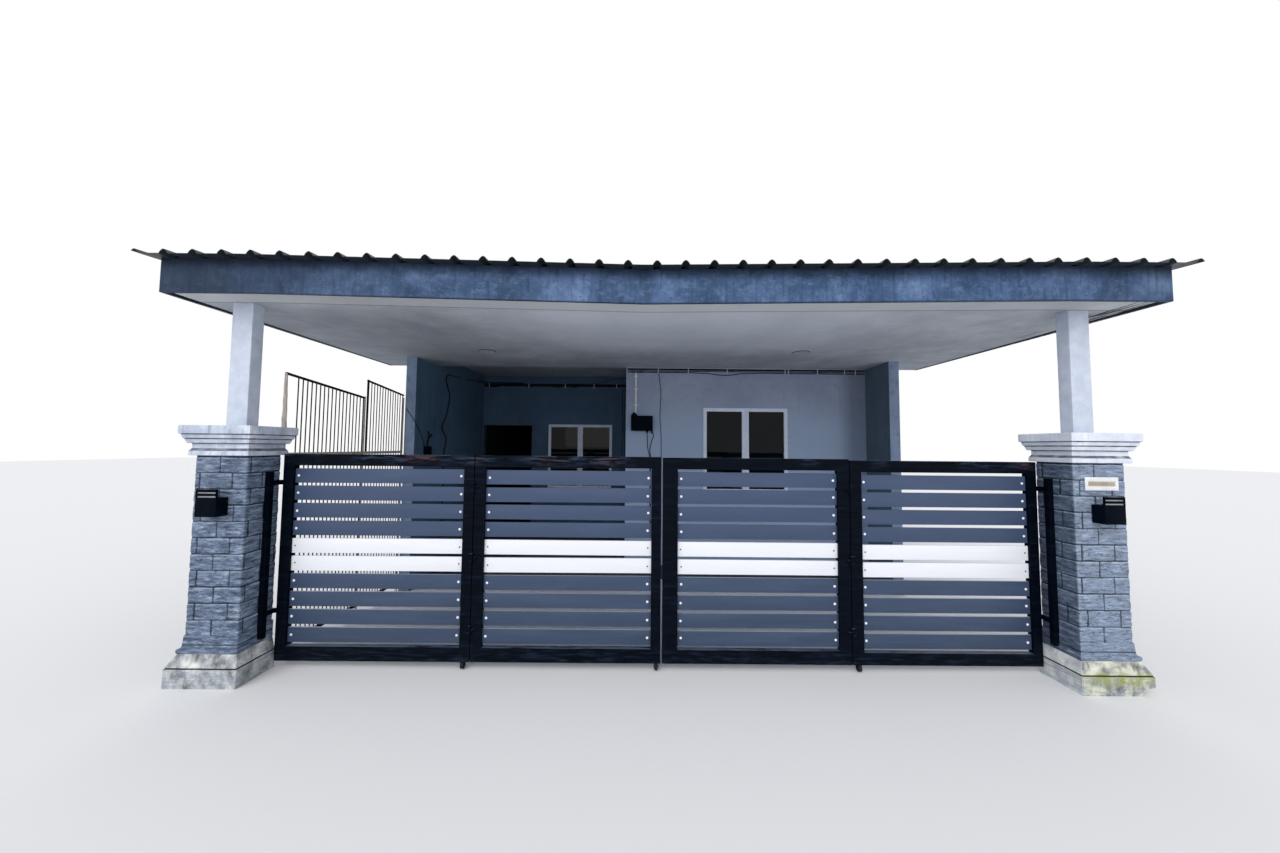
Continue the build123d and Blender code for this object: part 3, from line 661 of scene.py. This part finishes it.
def ribOutline(x0, x1, mids):
    # rolls with flat pans between, cut off at the sheet's edges
    line = []
    steps = roof["ribSteps"]
    for mid in mids:
        for i in range(-steps, steps + 1):
            x = mid + roof["ribHalf"] * i / steps
            if x0 <= x <= x1:
                line.append((x, ribLift(i / steps)))
        if mid + roof["rib"] / 2 < x1:
            line.append((mid + roof["rib"] / 2, 0))
    for edge, spot in ((x0, 0), (x1, len(line))):
        if abs(line[spot - 1 if spot else 0][0] - edge) > 0.5:
            near = min(abs(mid - edge) for mid in mids)
            line.insert(spot, (edge, ribLift(min(1, near / roof["ribHalf"]))))
    return line


def ribbedSheet(name, x0, x1, mids, rows, replaced):
    # rows gives (y, height of the pans, share of the sag)
    shape = bmesh.new()
    line = ribOutline(x0, x1, mids)
    low, high = [[[shape.verts.new(place(x, y, z + rise + lift - sagAt(x) * share)) for x, rise in line]
                  for y, z, share in rows] for lift in (0, roof["thick"])]
    quads = []
    for grid in (low, high):
        for near, far in zip(grid, grid[1:]):
            quads += zip(near, near[1:], far[1:], far)
    for row in (0, -1):
        quads += zip(low[row], low[row][1:], high[row][1:], high[row])
    for i in (0, -1):
        under = [row[i] for row in low]
        upper = [row[i] for row in high]
        quads += zip(under, under[1:], upper[1:], upper)
    for quad in quads:
        shape.faces.new(quad)
    newPiece(name, shape, "sheet", replaced)


porchDepth = roof["porchRear"] - roof["eaveY"]
porchRows = [(y, porchPlane(y), (roof["porchRear"] - y) / porchDepth)
             for y in evenly(roof["eaveY"], roof["porchRear"], 10)]
ribbedSheet("porch_sheet", roof["left"], roof["right"], porchRibs(), porchRows, ("porch_roof_sheet",))
mainRibs = evenly(-roof["mainSide"], roof["mainSide"], round(2 * roof["mainSide"] / roof["rib"]))
for name, first, last in (("front", roof["mainFront"], roof["ridgeY"] - roof["ridgeGap"]),
                          ("rear", roof["ridgeY"] + roof["ridgeGap"], roof["rearEave"])):
    ribbedSheet("main_sheet_" + name, -roof["mainSide"], roof["mainSide"], mainRibs,
                [(y, mainPlane(y), 0) for y in evenly(first, last, 8)], ("main_roof_" + name,))


def roofScrews():
    shape = bmesh.new()
    sheets = (
        (porchRibs(), roof["eaveY"], 1, roof["screwRows"], porchPlane, 1),
        (mainRibs, roof["mainFront"], 1, roof["mainScrewRows"], mainPlane, 0),
        (mainRibs, roof["rearEave"], -1, roof["mainScrewRows"], mainPlane, 0),
    )
    for mids, start, way, rows, plane, sags in sheets:
        for row in rows:
            y = start + way * row
            drop = sags * (roof["porchRear"] - y) / porchDepth
            for x in mids[1:-1]:
                z = plane(y) + roof["ribHigh"] + roof["thick"] - sagAt(x) * drop - 1
                for lift, (radius, high, sides) in enumerate((roof["washer"], roof["head"])):
                    addDome(shape, x, y, z + lift, radius, high, (0, 0, 1), sides)
    newPiece("roof_screws", shape, "zincScrew", smooth=None)


roofScrews()
print("roof")


# edge boards and ceiling of the porch

fascia = dict(
    front=-464,
    left=-3880,
    right=3941,
    foot=3064,
    ceiling=3078,
    high=267,
    nail=(5, 1.5),  # radius and height
    nailLift=40,
    nails=(-3560, -3120, -2510, -2090, -1770, -1460, -1080, -640, -330, 60, 420, 850, 1190, 1540, 2010, 2380,
           2790, 3270),
    upperNail=(4, 1.2),
    upperNails=((-3300, 194), (-1210, 219), (-700, 164), (330, 204), (1560, 214), (2390, 229), (2640, 164)),
    spliceHalf=1.5,
    scratches=((76, 26), (109, 12), (182, 20)),  # height over the foot and half length
    scratchTilt=6,
    scratchWide=3,
    strip=(24, 46),
    stripFront=26,
    stripRear=2400,
)


def fasciaDetails():
    front = fascia["front"]
    shape = bmesh.new()
    for x in fascia["nails"]:
        addDome(shape, x, front, fascia["foot"] - sagAt(x) + fascia["nailLift"], *fascia["nail"])
    for x, lift in fascia["upperNails"]:
        addDome(shape, x, front, fascia["foot"] - sagAt(x) + lift, *fascia["upperNail"])
    newPiece("fascia_nails", shape, "screwDark", smooth=None)
    shape = bmesh.new()
    x = dip["splice"]
    foot = fascia["foot"] - dip["drop"]
    addBox(shape, x - fascia["spliceHalf"], x + fascia["spliceHalf"], front - 1, front + 1, foot + 1,
           foot + fascia["high"] - 2, 0)
    for lift, half in fascia["scratches"]:
        low = foot + lift
        high = low + fascia["scratchTilt"]
        addPrism(shape, ((x - half, high), (x + half, low), (x + half, low + fascia["scratchWide"]),
                         (x - half, high + fascia["scratchWide"])), front - 1.2, front + 1, 0)
    newPiece("fascia_splice", shape, "screwDark", smooth=None)
    # dark strips just inside the side fascias: painted shadow of the gap under them
    shape = bmesh.new()
    near, far = fascia["strip"]
    left, right = fascia["left"], fascia["right"]
    for x0, x1 in ((left + near, left + far), (right - far, right - near)):
        addBox(shape, x0, x1, front + fascia["stripFront"], fascia["stripRear"], fascia["ceiling"] - 3,
               fascia["ceiling"] + 1, 0.6)
    newPiece("soffit_edge_shadow_strips", shape, "rod", smooth=None)


fasciaDetails()

downlights = dict(
    spots=((-2058, 1404), (1778, 1326)),
    # drop and radius of the rim, and then of the lens from its third ring on
    profile=((0, 103), (-5, 101), (-8, 94), (-7.5, 86), (-4, 82), (-5, 60), (-5.6, 30), (-5.8, 4)),
    rimRings=2,
    sides=40,
    front=-440,
    rear=2407,
)


def makeDownlights():
    shape = bmesh.new()
    for x, y in downlights["spots"]:
        drop = sagAt(x) * (downlights["rear"] - y) / (downlights["rear"] - downlights["front"])
        spot = place(x, y, fascia["ceiling"] - drop)
        faces = addTurned(shape, spot, Vector((0, 0, 1)), downlights["profile"], downlights["sides"])
        for face in faces[1 + downlights["rimRings"] * downlights["sides"]:]:
            face.material_index = 1
    newPiece("downlights", shape, "frameDim lens", ("soffit_lights",))


makeDownlights()
print("porch edge and ceiling")


# gate pillars

pillar = dict(
    inner=3330,
    wide=428,
    front=-250,
    rear=60,
    shaftFoot=388,
    shaftHead=1807,
    shaftSteps=202,
    course=129,
    courses=20,
    courseFoot=378,
    stone=262,
    stones=12,
    stoneStart=70,
    stoneShift=26,
    jointHalf=3.2,
    jointDeep=7,
    rimIn=11,
    rimHalf=6,
    riven=5,
    footRear=52,
    footHead=250,
    footOutline=((0, 38, 106), (5, 40, 108), (143, 40, 108), (147, 37, 104), (149, 32, 98), (153, 32, 98),
                 (156, 36, 102), (238, 12, 45), (246, 10, 41), (250, 9, 40)),
    ledgeOutline=((250, 9, 43), (257, 13, 47), (278, 14, 48), (284, 11, 44), (287, 6, 16), (317, 4, 11),
                  (319, 2, 8), (322, 4, 10), (380, 2, 4), (388, 0, 0)),
    footGroove=(144, 154),
    ledgeGroove=(316, 322),
)
footBreak = dict(out=3760, high=52, rear=-150)
pillarSides = dict(left=-1, right=1)


def pillarRect(side, rear):
    x0, x1 = sorted((side * pillar["inner"], side * (pillar["inner"] + pillar["wide"])))
    return (x0, x1, pillar["front"], rear)


def stoneRelief(side):
    draw = random.Random(40 + side)
    shifts = [draw.uniform(-pillar["stoneShift"], pillar["stoneShift"]) + row % 2 * pillar["stone"] / 2
              + pillar["stoneStart"] for row in range(pillar["courses"])]
    tilt = [[draw.uniform(0, 3) for stone in range(pillar["stones"])] for row in range(pillar["courses"])]

    def relief(distance, z, x, y):
        # the joints wander a little, and each stone's face is riven and lies a little deeper or prouder
        up = z - pillar["courseFoot"] + 3 * noise.noise(Vector((distance / 90, z / 300, side * 9.1)))
        row = max(0, min(pillar["courses"] - 1, int(up // pillar["course"])))
        toHead = (row + 1) * pillar["course"] - up
        across = distance + shifts[row] + 3 * noise.noise(Vector((z / 60, row * 3.7, side)))
        index = int(across // pillar["stone"])
        along = across - index * pillar["stone"]
        edge = min(up - row * pillar["course"], toHead, along, pillar["stone"] - along)
        joint = max(0, min(1, (pillar["jointHalf"] * 2 - edge) / pillar["jointHalf"]))
        pillow = 2.2 * math.exp(-edge / 14)
        spot = Vector((distance / 75, z / 38, index * 5.3 + row * 2.1 + side))
        cut = noise.noise(spot) * 0.6 + noise.noise(spot * 2.3) * 0.3 + noise.noise(spot * 5.1) * 0.16
        riven = pillar["riven"] * max(0, 0.42 - cut)
        stone = min(pillar["jointDeep"], pillow + riven + tilt[row][index % pillar["stones"]] * 0.5)
        # a stone's upper edge gets a painted highlight, written as a joint below zero
        rim = max(0, 1 - abs(toHead - pillar["rimIn"]) / pillar["rimHalf"])
        return stone + (pillar["jointDeep"] - stone) * joint, joint or -rim

    return relief


def roughRelief(seed, deep, size, groove=(0, 0)):
    def relief(distance, z, x, y):
        spot = Vector((x / size, y / size, z / size + seed))
        cut = deep * (0.5 + 0.5 * noise.noise(spot)) + deep * 0.4 * noise.noise(spot * 3.7)
        return max(0, cut), 1.0 if groove[0] < z < groove[1] else 0.0

    return relief


def brokenCorner(x, y, z):
    # the lower outer front corner of the right foot has broken away
    ragged = 9 * noise.noise(Vector((y / 40, z / 25, 1.7))) + 4 * noise.noise(Vector((y / 12, z / 9, 5.1)))
    rise = max(0, z - footBreak["high"] + ragged) * 7
    return min(x, footBreak["out"] + ragged + rise + max(0, y - footBreak["rear"]) * 1.5), y


def makePillars():
    for name, side in pillarSides.items():
        x0, x1, y0, rear = pillarRect(side, pillar["rear"])
        footRect = (x0, x1, y0, pillar["footRear"])
        shape = bmesh.new()
        levels = [(z, 0, 0) for z in evenly(pillar["shaftFoot"], pillar["shaftHead"], pillar["shaftSteps"])]
        addShell(shape, (x0, x1, y0, rear), levels, stoneRelief(side), step=7, corner=14)
        newPiece(name + "_pillar_stone", shape, "stone", ("gate_pillars",), smooth=60)
        shape = bmesh.new()
        addShell(shape, footRect, evenLevels(pillar["ledgeOutline"], 7),
                 roughRelief(3 * side, 2, 60, pillar["ledgeGroove"]), step=10, corner=8, wideSide=side,
                 rearShare=0)
        addBox(shape, x0, x1, pillar["footRear"] - 20, rear, pillar["footHead"], pillar["shaftFoot"], 3)
        newPiece(name + "_pillar_ledge", shape, "stone", ("gate_pillars",), smooth=50)
        shape = bmesh.new()
        addShell(shape, footRect, evenLevels(pillar["footOutline"], 7),
                 roughRelief(7 * side, 3.5, 80, pillar["footGroove"]), step=9, corner=7, wideSide=side,
                 rearShare=0, clip=brokenCorner if side > 0 else None)
        addBox(shape, x0, x1, pillar["footRear"] - 20, rear, 0, pillar["footHead"], 3)
        newPiece(name + "_pillar_foot", shape, "mossyFoot" if side > 0 else "foot",
                 ("pillar_bases",), smooth=50)


makePillars()

capping = dict(
    foot=1807,
    outline=((0, 24), (3, 28.5), (30, 29), (36, 28), (40, 25), (50, 19.5), (62, 14), (66, 15), (94, 15),
             (98, 17), (99, 33), (102, 37), (131, 46), (135, 44), (136.5, 48), (139, 53), (168, 61),
             (172, 57), (173, 66), (176, 72), (235, 73), (242, 69)),
    dustAndShadeBands=((37, 58), (93, 101), (129, 139), (166, 175)),
    worn=0.8,
)


# the coves are darkened by dust and painted shade
def dustAndShadeRelief(distance, z, x, y):
    lift = z - capping["foot"]
    dark = max(0.9 if low <= lift <= high else 0 for low, high in capping["dustAndShadeBands"])
    patch = 0.5 + 0.5 * noise.noise(Vector((x / 60, y / 60, z / 20)))
    return capping["worn"] * patch, dark * min(1, 0.4 + patch)


def makeCaps():
    shape = bmesh.new()
    levels = [(capping["foot"] + z, out, out) for z, out in evenLevels(capping["outline"], 3)]
    for side in pillarSides.values():
        addShell(shape, pillarRect(side, pillar["rear"]), levels, dustAndShadeRelief, step=16, corner=3)
    newPiece("pillar_cappings", shape, "moulding", ("pillar_caps",), smooth=35)


makeCaps()

column = dict(mid=3491, wide=170, deep=106, midY=-148, foot=2049, head=3078)


def makeColumns():
    shape = bmesh.new()
    halfX, halfY = column["wide"] / 2, column["deep"] / 2
    levels = evenLevels(((column["foot"], 0, 0), (column["head"], 0, 0)), 30)
    for side in pillarSides.values():
        mid = side * column["mid"]
        rect = (mid - halfX, mid + halfX, column["midY"] - halfY, column["midY"] + halfY)
        addShell(shape, rect, levels, roughRelief(side, 1.4, 120), step=24, corner=4)
    newPiece("column_shafts", shape, "column", ("porch_columns",))


makeColumns()
print("pillars")


# fittings on the pillars

lamp = dict(
    foot=1330,
    high=145,
    wide=164,
    deep=95,
    out=220,
    rim=8,
    bars=((-2, 8), (18, 19), (48, 20)),  # height over the body, and how high the bar is
    barDeep=14,
    pane=(9, 13),
    paneIn=6,
    paneHigh=56,
    cheekHigh=70,
)


def makeLamps():
    shape = bmesh.new()
    front = pillar["front"] - lamp["deep"]
    rim = lamp["rim"]
    foot = lamp["foot"]
    head = foot + lamp["high"]
    for side in pillarSides.values():
        mid = side * (pillar["inner"] + lamp["out"])
        x0 = mid - lamp["wide"] / 2
        x1 = mid + lamp["wide"] / 2
        addBox(shape, x0, x1, front, pillar["front"], foot, head, 3)
        addBox(shape, x0 + rim, x1 - rim, front - 0.1, front + 4, foot + rim, head - rim)
        for lift, high in lamp["bars"]:
            addBox(shape, x0, x1, front, front + lamp["barDeep"], head + lift, head + lift + high)
        near, far = lamp["pane"]
        addBox(shape, x0 + lamp["paneIn"], x1 - lamp["paneIn"], front + near, front + far, head - 2,
               head + lamp["paneHigh"], 0.5, look=1)
        for cheek in (x0, x1 - rim):
            addBox(shape, cheek, cheek + rim, front, front + lamp["barDeep"], head - 2,
                   head + lamp["cheekHigh"], 1.5)
    newPiece("wall_lamps", shape, "blackPlastic lens", ("pillar_lamps",))


makeLamps()

letter = dict(left=3420, right=3688, foot=1586, head=1693, deep=8, rim=24, slot=(1621, 1657))


def makeLetterPlate():
    shape = bmesh.new()
    rear = pillar["front"]
    front = rear - letter["deep"]
    x0, x1 = letter["left"], letter["right"]
    in0, in1 = x0 + letter["rim"], x1 - letter["rim"]
    low, high = letter["slot"]
    addBox(shape, x0, x1, front, rear, high, letter["head"], 2.5)
    addBox(shape, x0, x1, front, rear, letter["foot"], low, 2.5)
    addBox(shape, x0, in0, front, rear, low, high, 1.5)
    addBox(shape, in1, x1, front, rear, low, high, 1.5)
    addBox(shape, in0, in1, front + 3, rear - 1, low + 3, high - 2, 2, look=1)
    newPiece("letter_slot", shape, "whitePlastic tanPlastic", ("letter_plate",))


makeLetterPlate()
print("pillar fittings")


# folding gate

gate = dict(
    spans=((-3258, -1606), (-1598, 19), (33, 1650), (1658, 3278)),
    stiles=((89, 86), (92, 83), (130, 101), (98, 77)),
    lifts=(20, 18, 13, 2),
    deep=50,
    foot=70,
    head=1800,
    rail=100,
    board=125,
    rows=10,
    whiteRows=(4, 5),
    boardFront=20,
    boardDeep=18,
    screwIn=30,
    screw=dict(grey=11, white=6.5),
    screwHigh=3,
    bead=1.2,
    beadStart=0.03,
)
leafNames = ("outer_left_leaf", "inner_left_leaf", "inner_right_leaf", "outer_right_leaf")


def makeLeaf(index, name):
    draw = random.Random(70 + index)
    left, right = gate["spans"][index]
    lift = gate["lifts"][index]
    x0 = left + gate["stiles"][index][0]
    x1 = right - gate["stiles"][index][1]
    foot = gate["foot"]
    head = gate["head"] + lift
    spare = gate["head"] - foot - 2 * gate["rail"] - gate["rows"] * gate["board"]
    gap = spare / (gate["rows"] + 1)
    boards = {"grey": bmesh.new(), "white": bmesh.new()}
    screws = {"grey": bmesh.new(), "white": bmesh.new()}
    for row in range(gate["rows"]):
        kind = "white" if row in gate["whiteRows"] else "grey"
        top = head - gate["rail"] - gap - row * (gate["board"] + gap)
        low = top - gate["board"]
        tilt = draw.uniform(-1.5, 1.5)
        addPrism(boards[kind], ((x0, low - tilt), (x1, low + tilt), (x1, top + tilt), (x0, top - tilt)),
                 gate["boardFront"], gate["boardFront"] + gate["boardDeep"], 2.5)
        for x in (x0 + gate["screwIn"], x1 - gate["screwIn"]):
            addDome(screws[kind], x + draw.uniform(-3, 3), gate["boardFront"],
                    (top + low) / 2 + draw.uniform(-5, 5), gate["screw"][kind], gate["screwHigh"], sides=12)
    for kind, look in (("grey", "slate"), ("white", "pale")):
        newPiece("%s_%s_boards" % (name, look), boards[kind], kind + "Board",
                 ("%s_%s_boards" % (name, kind),), name)
    newPiece(name + "_caps", screws["grey"], "screwPale", body=name)
    newPiece(name + "_screws", screws["white"], "screwDark", body=name)
    # a weld bead across each mitred corner of the tube frame
    shape = bmesh.new()
    for ax, bx in ((left, x0), (right, x1)):
        for az, bz in ((head, head - gate["rail"]), (foot, foot + gate["rail"] + lift)):
            for y in (0.5, gate["deep"] - 0.5):
                start = (ax + (bx - ax) * gate["beadStart"], y, az + (bz - az) * gate["beadStart"])
                addRod(shape, start, (bx, y, bz), gate["bead"], 6)
    newPiece(name + "_weld_beads", shape, "steel", body=name, smooth=60)


for index, name in enumerate(leafNames):
    makeLeaf(index, name)
print("gate")


# windows

windows = dict(
    spots=((766, 2006, 1250, 2487, 2407), (-1909, -697, 1110, 2320, 4180)),  # left, right, foot, head, wall
    proud=8,
    deep=60,
    member=50,
    outer=24,
    gapHalf=3,
)


def makeWindows():
    shape = bmesh.new()
    outer = windows["outer"]
    gapHalf = windows["gapHalf"]
    thin = windows["member"] - outer
    thick = windows["member"] - gapHalf
    for x0, x1, z0, z1, wall in windows["spots"]:
        front = wall - windows["proud"]
        rear = front + windows["deep"]
        middle = (x0 + x1) / 2
        foot, head = z0 + outer, z1 - outer
        addBox(shape, x0, x1, front, rear, head, z1, 2.5)
        addBox(shape, x0, x1, front, rear, z0, foot, 2.5)
        addBox(shape, x0, x0 + outer, front, rear, foot, head, 2.5)
        addBox(shape, x1 - outer, x1, front, rear, foot, head, 2.5)
        # each casement's thicker stile is at the middle, where the two meet
        for s0, s1, left, right in ((x0 + outer, middle - gapHalf, thin, thick),
                                    (middle + gapHalf, x1 - outer, thick, thin)):
            addBox(shape, s0, s0 + left, front + 4, rear - 4, foot, head, 2.5)
            addBox(shape, s1 - right, s1, front + 4, rear - 4, foot, head, 2.5)
            addBox(shape, s0 + left, s1 - right, front + 5, rear - 5, head - thin, head)
            addBox(shape, s0 + left, s1 - right, front + 5, rear - 5, foot, foot + thin)
        addBox(shape, middle - gapHalf - 0.5, middle + gapHalf + 0.5, front + 9, rear - 9, foot, head, 0.5)
    newPiece("window_casements", shape, "frameWhite", ("window_frames",))


makeWindows()
print("windows")


# boxes, conduit and cable clips on the walls

meter = dict(
    box=(-298, 18, 2141, 2358),
    deep=110,
    wall=2407,
    lids=((22, 128, 96, 197), (22, 294, 20, 80)),  # left, right, foot, head from the box's lower left corner
    screwIn=12,
    glands=(-62, 8),
    glandY=40,
    conduitX=-232,
    conduitFoot=2372,
    conduitHead=2995,
    conduitRadius=14,
    saddles=(2520, 2760, 2950),
    saddleHalf=9,
    saddleProud=2.2,
    saddleLug=22,
    gable=((-300, 2352), (-300, 2362), (-256, 2412), (-206, 2372), (-206, 2352)),
)


def makeMeter():
    shape = bmesh.new()
    x0, x1, z0, z1 = meter["box"]
    wall = meter["wall"]
    front = wall - meter["deep"]
    addBox(shape, x0, x1, front + 10, wall, z0, z1, 6)
    addBox(shape, x0 + 4, x1 - 4, front + 2, front + 14, z0 + 4, z1 - 4, 5)
    for left, right, foot, head in meter["lids"]:
        addBox(shape, x0 + left, x0 + right, front, front + 4, z0 + foot, z0 + head, 3)
    addPrism(shape, meter["gable"], front + 12, wall, 3)
    for x in (x0 + meter["screwIn"], x1 - meter["screwIn"]):
        for z in (z0 + meter["screwIn"], z1 - meter["screwIn"]):
            addDome(shape, x, front + 2, z, 5, 1.8)
    near = wall - meter["glandY"]
    for x in meter["glands"]:
        addRod(shape, (x, near, z0 + 1), (x, near, z0 - 22), 13, 14)
        addRod(shape, (x, near, z0 - 20), (x, wall - 8, z0 - 34), 8)
    newPiece("meter_housing", shape, "blackPlastic", ("wall_boxes",))
    shape = bmesh.new()
    x = meter["conduitX"]
    y = wall - meter["conduitRadius"]
    half = meter["saddleHalf"]
    addRod(shape, (x, y, meter["conduitFoot"]), (x, y, meter["conduitHead"]), meter["conduitRadius"], 20)
    for z in meter["saddles"]:
        addRod(shape, (x, y, z - half), (x, y, z + half), meter["conduitRadius"] + meter["saddleProud"], 20)
        for lug in (x - meter["saddleLug"], x + meter["saddleLug"]):
            addBox(shape, lug - half, lug + half, wall - 3, wall, z - 8, z + 8, 1)
    newPiece("meter_conduit", shape, "whitePlastic", ("wall_boxes",))


makeMeter()

wallHook = dict(
    box=(2075, 2190, 1755, 1888),
    wall=-3165,
    deep=60,
    lidIn=(10, 14),
    out=45,
    rods=(((2105, 1880), (2092, 1958), (2140, 2026), (2104, 2096)), ((2132, 2010), (2204, 2048))),
    radius=8,
    knuckle=8.4,
    collars=((0, (2096, 1950), (2098, 1968), 13), (-2, (2196, 2042), (2206, 2052), 12)),
)


def makeWallHook():
    shape = bmesh.new()
    y0, y1, z0, z1 = wallHook["box"]
    wall = wallHook["wall"]
    inX, inZ = wallHook["lidIn"]
    addBox(shape, wall, wall + wallHook["deep"], y0, y1, z0, z1, 6)
    addBox(shape, wall + inX, wall + wallHook["deep"] - inX, y0 - 0.1, y0 + 6, z0 + inZ, z1 - inZ, 3)
    x = wall + wallHook["out"]
    for line in wallHook["rods"]:
        for start, end in zip(line, line[1:]):
            addRod(shape, (x, *start), (x, *end), wallHook["radius"])
            addDome(shape, x, *end, wallHook["knuckle"], 6, (0, 0, 1), 12)
    for shift, start, end, radius in wallHook["collars"]:
        addRod(shape, (x + shift, *start), (x + shift, *end), radius, 14)
    newPiece("wall_box_and_hook", shape, "blackPlastic", ("wall_boxes",))


makeWallHook()

clips = dict(
    room=((96, 540, 1115, 1970, 2020, 2450, 2850, 3010), 3000, 3070, 2407),  # places, foot, head and wall
    recess=((-3060, -2300, -1600, -1050, -620), 3024, 3100, 4180),
    half=4.5,
    out=27,
    thick=3,
    tapes=(-300, -262, -215, -180, -140),
    tapeRun=34,
    tapeZ=(3012, 3034),
    tapeRadius=16,
    trim=(-370, 3160, 2401, 2407, 3070, 3078),
)


def makeClips():
    shape = bmesh.new()
    for spots, z0, z1, wall in (clips["room"], clips["recess"]):
        front = wall - clips["out"]
        for x in spots:
            x0, x1 = x - clips["half"], x + clips["half"]
            addBox(shape, x0, x1, front, front + clips["thick"], z0, z1, 0.6)
            addBox(shape, x0, x1, front, wall, z1 - 2, z1 + 1, 0.6)
            addBox(shape, x0, x1, front, wall, z0 - 1, z0 + 2, 0.6)
    newPiece("cable_clips", shape, "whitePlastic")
    shape = bmesh.new()
    draw = random.Random(5)
    y = clips["room"][3] - clips["tapeRadius"] - 1
    for x in clips["tapes"]:
        addRod(shape, (x, y, clips["tapeZ"][0] + draw.uniform(0, 12)),
               (x + clips["tapeRun"], y, clips["tapeZ"][1] + draw.uniform(-14, 22)), clips["tapeRadius"])
    newPiece("cable_taping", shape, "sheath")
    shape = bmesh.new()
    addBox(shape, *clips["trim"], 1)
    newPiece("room_wall_trim", shape, "frameWhite")


makeClips()
print("wall fittings")


# side fence

fence = dict(
    x=-3315,
    # y, foot, head, lean of the foot in x and y, radius at the foot and at the head
    posts=((42, 2049, 2534, 0, 4, 19, 11), (1068, 0, 2454, -5, 0, 15, 13), (1818, 0, 2534, -5, 0, 15, 12)),
    postSteps=12,
    postSides=14,
    panels=((42, 2547, 1068, 2452), (1112, 2657, 1818, 2577)),
    headRail=12,
    railHeights=(120, 1812),
    railStarts=(60, 90),
    railEnd=1818,
    rail=30,
    bar=20,
    rodPitch=50,
    rodIn=20,
    rodRadius=5,
    rodStart=174,
    stile=8,
)


def makePosts(draw):
    posts = bmesh.new()
    steps = fence["postSteps"]
    for y, foot, head, leanX, leanY, low, high in fence["posts"]:
        spots = [(fence["x"] + leanX * (1 - i / steps) + draw.uniform(-1.5, 1.5),
                  y + leanY * (1 - i / steps) + draw.uniform(-1.5, 1.5), foot + (head - 2 - foot) * i / steps)
                 for i in range(steps + 1)]
        addSkin(posts, [[posts.verts.new(place(spotX + radius * draw.uniform(0.9, 1.06) * c,
                                               spotY + radius * draw.uniform(0.9, 1.06) * s, z))
                         for c, s in circle(fence["postSides"])]
                        for radius, (spotX, spotY, z) in zip(evenly(low, high, steps), spots)])
    newPiece("fence_posts", posts, "post", ("side_fence",), smooth=50)


def makeFence():
    draw = random.Random(12)
    makePosts(draw)
    rods = bmesh.new()
    x = fence["x"]
    half = fence["rail"] / 2
    barHalf = fence["bar"] / 2
    low, high = fence["railHeights"]
    for y0, z0, y1, z1 in fence["panels"]:
        addRod(rods, (x, y0, z0 - half), (x, y1, z1 - half), fence["headRail"], 10)
        first = max(y0 + fence["rodIn"], fence["rodStart"])
        last = y1 - fence["rodIn"]
        for y in evenly(first, last, round((last - first) / fence["rodPitch"])):
            top = z0 + (z1 - z0) * (y - y0) / (y1 - y0) - half
            start = (x + draw.uniform(-3, 3), y + draw.uniform(-4, 4), low)
            addRod(rods, start, (x, y, top), fence["rodRadius"], 6)
    y0, z0 = fence["panels"][1][:2]
    stile = fence["stile"]
    addBox(rods, x - stile, x + stile, y0, y0 + 2 * stile, high, z0 - 2, 1)
    near, far = fence["railStarts"]
    addBox(rods, x - barHalf, x + barHalf, near, fence["railEnd"], low - half, low + half)
    newPiece("fence_rods", rods, "rod", ("side_fence",))
    shape = bmesh.new()
    addBox(shape, x - barHalf, x + barHalf, far, fence["railEnd"], high - half, high + half)
    newPiece("fence_rail", shape, "post", ("side_fence",))


makeFence()
print("fence")


# carried-over nodes keep their shape and get their finish

carried = dict(
    floor="house_floor",
    twoTone="left_party_wall right_party_wall rear_wall",
    room="room_front_wall",
    recess="room_side_wall recess_wall_over_door recess_wall_beside_door",
    soffit="house_ceiling porch_soffit",
    sheet="ridge_cap",
    fascia="front_fascia side_fascias",
    steel="gate_posts " + " ".join(name + "_frame" for name in leafNames),
    glass="window_glass",
    frameDim="door_lining",
    sheath="wall_cables",
    rubber="left_gate_wheel right_gate_wheel centre_gate_wheel",
)
for key, nodes in carried.items():
    for node in nodes.split():
        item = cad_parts[node]
        if not item.material_slots:
            item.data.materials.append(finishes[key])
        for holder in item.material_slots:
            holder.material = finishes[key]
print("carried nodes", sum(len(nodes.split()) for nodes in carried.values()))


# plain floor

def makeGround():
    mesh = bpy.data.meshes.new("ground")
    half = light["floorHalf"]
    corners = [(x, y, 0) for x, y in ((-half, -half), (half, -half), (half, half), (-half, half))]
    mesh.from_pydata(corners, [], [(0, 1, 2, 3)])
    material = startMaterial("studio_floor")[0]
    mesh.materials.append(finishMaterial(material, light["floor"], light["floorRough"]))
    addToScene("ground", mesh)


makeGround()
bpy.context.scene.view_settings.view_transform = "Standard"
